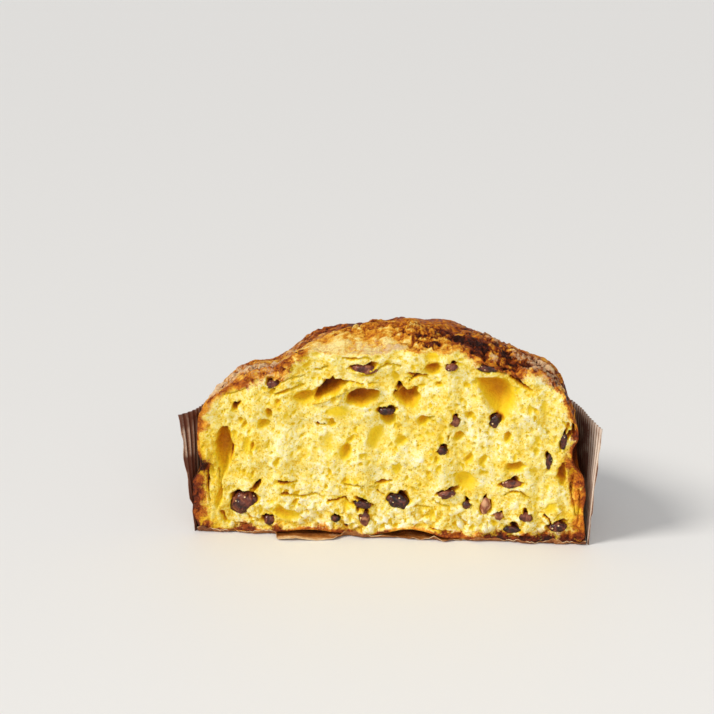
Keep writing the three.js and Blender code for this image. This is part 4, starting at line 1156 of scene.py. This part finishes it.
def makeSheet():
    plan = sheetGrid
    radius, middle = casePlan["sheetRadius"], loafPlan["middleBehindCut"]
    bpy.ops.object.select_all(action="DESELECT")
    bpy.ops.mesh.primitive_grid_add(x_subdivisions=plan["across"], y_subdivisions=plan["back"], size=2)
    piece = bpy.context.object
    piece.name = piece.data.name = "case_sheet_paper"
    grid = meshPoints(piece.data)
    halfChord = math.sqrt(radius ** 2 - middle ** 2)
    x = np.sin(grid[:, 0] * np.pi / 2) * halfChord
    share = (grid[:, 1] + 1) / 2
    line = np.stack([x, x * 0, x * 0], 1)
    flap = plan["flap"] * ramp(-63, -60, x + 1.2 * softNoise(line, 3.0, 85, 2)) * ramp(-24, -36, x)
    ragged = 1.1 * softNoise(line, plan["raggedSize"], 71, 4) + 0.9 * softNoise(line, plan["frayedSize"], 75, 2)
    follow = cutDepth(x, np.ones_like(x)) * ramp(105, 98, np.abs(x))
    front = follow - 1.3 - flap - ragged * ramp(104, 96, np.abs(x))
    back = middle + np.sqrt(np.clip(radius ** 2 - x ** 2, 0, None))
    y = front + (back - front) * share ** 1.6
    curl = plan["curl"] * np.exp(-((x + 42) / 20) ** 2) * ramp(-1.0, -8.0, y) * (0.5 + 0.5 * np.sin(x / 5.0))
    crease = np.abs(softNoise(np.stack([x, y, y * 0], 1), plan["creaseSize"], 73, 2))
    crease = plan["crease"] * crease * ramp(3, -1.5, y)
    uneven = 0.5 + 0.9 * softNoise(line, 8.0, 77, 4) + 0.3 * softNoise(line, plan["frayedSize"], 87, 2)
    lip = np.clip(plan["lip"] * uneven, 0, None) * ramp(1.4, -0.2, y - front) * ramp(5, 1, flap)
    points = np.stack([x, y, plan["lift"] + (curl + lip) + crease], 1)
    piece.data.vertices.foreach_set("co", toFrame(points).ravel())
    piece.data.update()
    thicken(piece, plan["thickness"])
    placed = meshPoints(piece.data) * 1000 - cutPlace
    # the torn edge in front is paler in places, and so is the flap's end
    edge = np.exp(-np.tile(share, 3)[:len(placed)] / 0.0025)
    edge = edge * np.clip(0.25 + 0.7 * softNoise(placed, 5.0, 79, 2), -0.1, 0.6)
    ridge = np.clip(0.5 + edge + 0.22 * ramp(-3.2, -6.5, placed[:, 1]), 0, 1)
    finishPaper(piece, "case_sheet", greasyMaterial, ridge)


makeWall()
makeSheet()
print("paper case made")


# floor, light and camera

stagePlan = {
    "floor": "#E8E6E2", "roughness": 0.6, "floorSize": 8.0, "floorPlace": (0, 1.5, -0.0001),
    "air": "#E6E8EC", "airStrength": 0.62,
}
lights = rowsOf(
    "name kind place target size power colour",
    ("window", "SUN", (-1.0, -0.55, 1.1), (0, 0, 0.05), 20, 2.15, "#FFFCF8"),
    ("bounce", "AREA", (0.25, -1.3, 0.6), (0.05, 0, 0.05), (1.2, 0.9), 5.0, "#FFFBF4"),
)


def makeStage():
    bpy.ops.object.select_all(action="DESELECT")
    bpy.ops.mesh.primitive_plane_add(size=stagePlan["floorSize"], location=stagePlan["floorPlace"])
    floor = bpy.context.object
    floor.name = "floor"
    bpy.ops.object.transform_apply(location=True)
    look = {"Base Color": linear(stagePlan["floor"]), "Roughness": stagePlan["roughness"]}
    floor.data.materials.append(newMaterial("table_painted_matt", lambda add, place: look))
    world = bpy.data.worlds.new("studio_air")
    world.use_nodes = True
    background = world.node_tree.nodes["Background"]
    background.inputs["Color"].default_value = linear(stagePlan["air"])
    background.inputs["Strength"].default_value = stagePlan["airStrength"]
    bpy.context.scene.world = world


def addLight(name, kind, place, target, size, power, colour):
    data = bpy.data.lights.new(name, kind)
    if kind == "AREA":
        data.shape = "RECTANGLE"
        data.size, data.size_y = size
    else:
        data.angle = math.radians(size)
    data.energy = power
    data.color = linear(colour)[:3]
    light = bpy.data.objects.new(name, data)
    light.location = place
    light.rotation_euler = (Vector(target) - Vector(place)).to_track_quat("-Z", "Y").to_euler()
    bpy.context.scene.collection.objects.link(light)


viewPlan = {
    "lens": 85.0, "sensor": 36.0, "frame": 714, "azimuth": 4.0, "elevation": 20.0, "distance": 0.908,
    "pivot": (0.0, 0.0, 55.0), "pivotPixel": (391.0, 443.0),
}


def makeCamera():
    plan = viewPlan
    data = bpy.data.cameras.new("camera")
    data.lens, data.sensor_width = plan["lens"], plan["sensor"]
    camera = bpy.data.objects.new("camera", data)
    azimuth, elevation = math.radians(plan["azimuth"]), math.radians(plan["elevation"])
    level = math.cos(elevation)
    away = Vector((math.sin(azimuth) * level, -math.cos(azimuth) * level, math.sin(elevation)))
    right = Vector((math.cos(azimuth), math.sin(azimuth), 0))
    up = away.cross(right)
    pivot = Vector(toFrame([plan["pivot"]])[0])
    perPixel = plan["distance"] * plan["sensor"] / plan["lens"] / plan["frame"]
    offRight = (plan["pivotPixel"][0] - plan["frame"] / 2) * perPixel
    offDown = (plan["pivotPixel"][1] - plan["frame"] / 2) * perPixel
    aim = pivot - right * offRight + up * offDown
    camera.location = pivot + away * plan["distance"]
    camera.rotation_euler = (aim - camera.location).to_track_quat("-Z", "Y").to_euler()
    bpy.context.scene.collection.objects.link(camera)
    bpy.context.scene.camera = camera


makeStage()
for light in lights:
    addLight(**light)
makeCamera()
bpy.context.scene.view_settings.view_transform = "Standard"
bpy.context.scene.view_settings.look = "None"
print("stage, light and camera set")
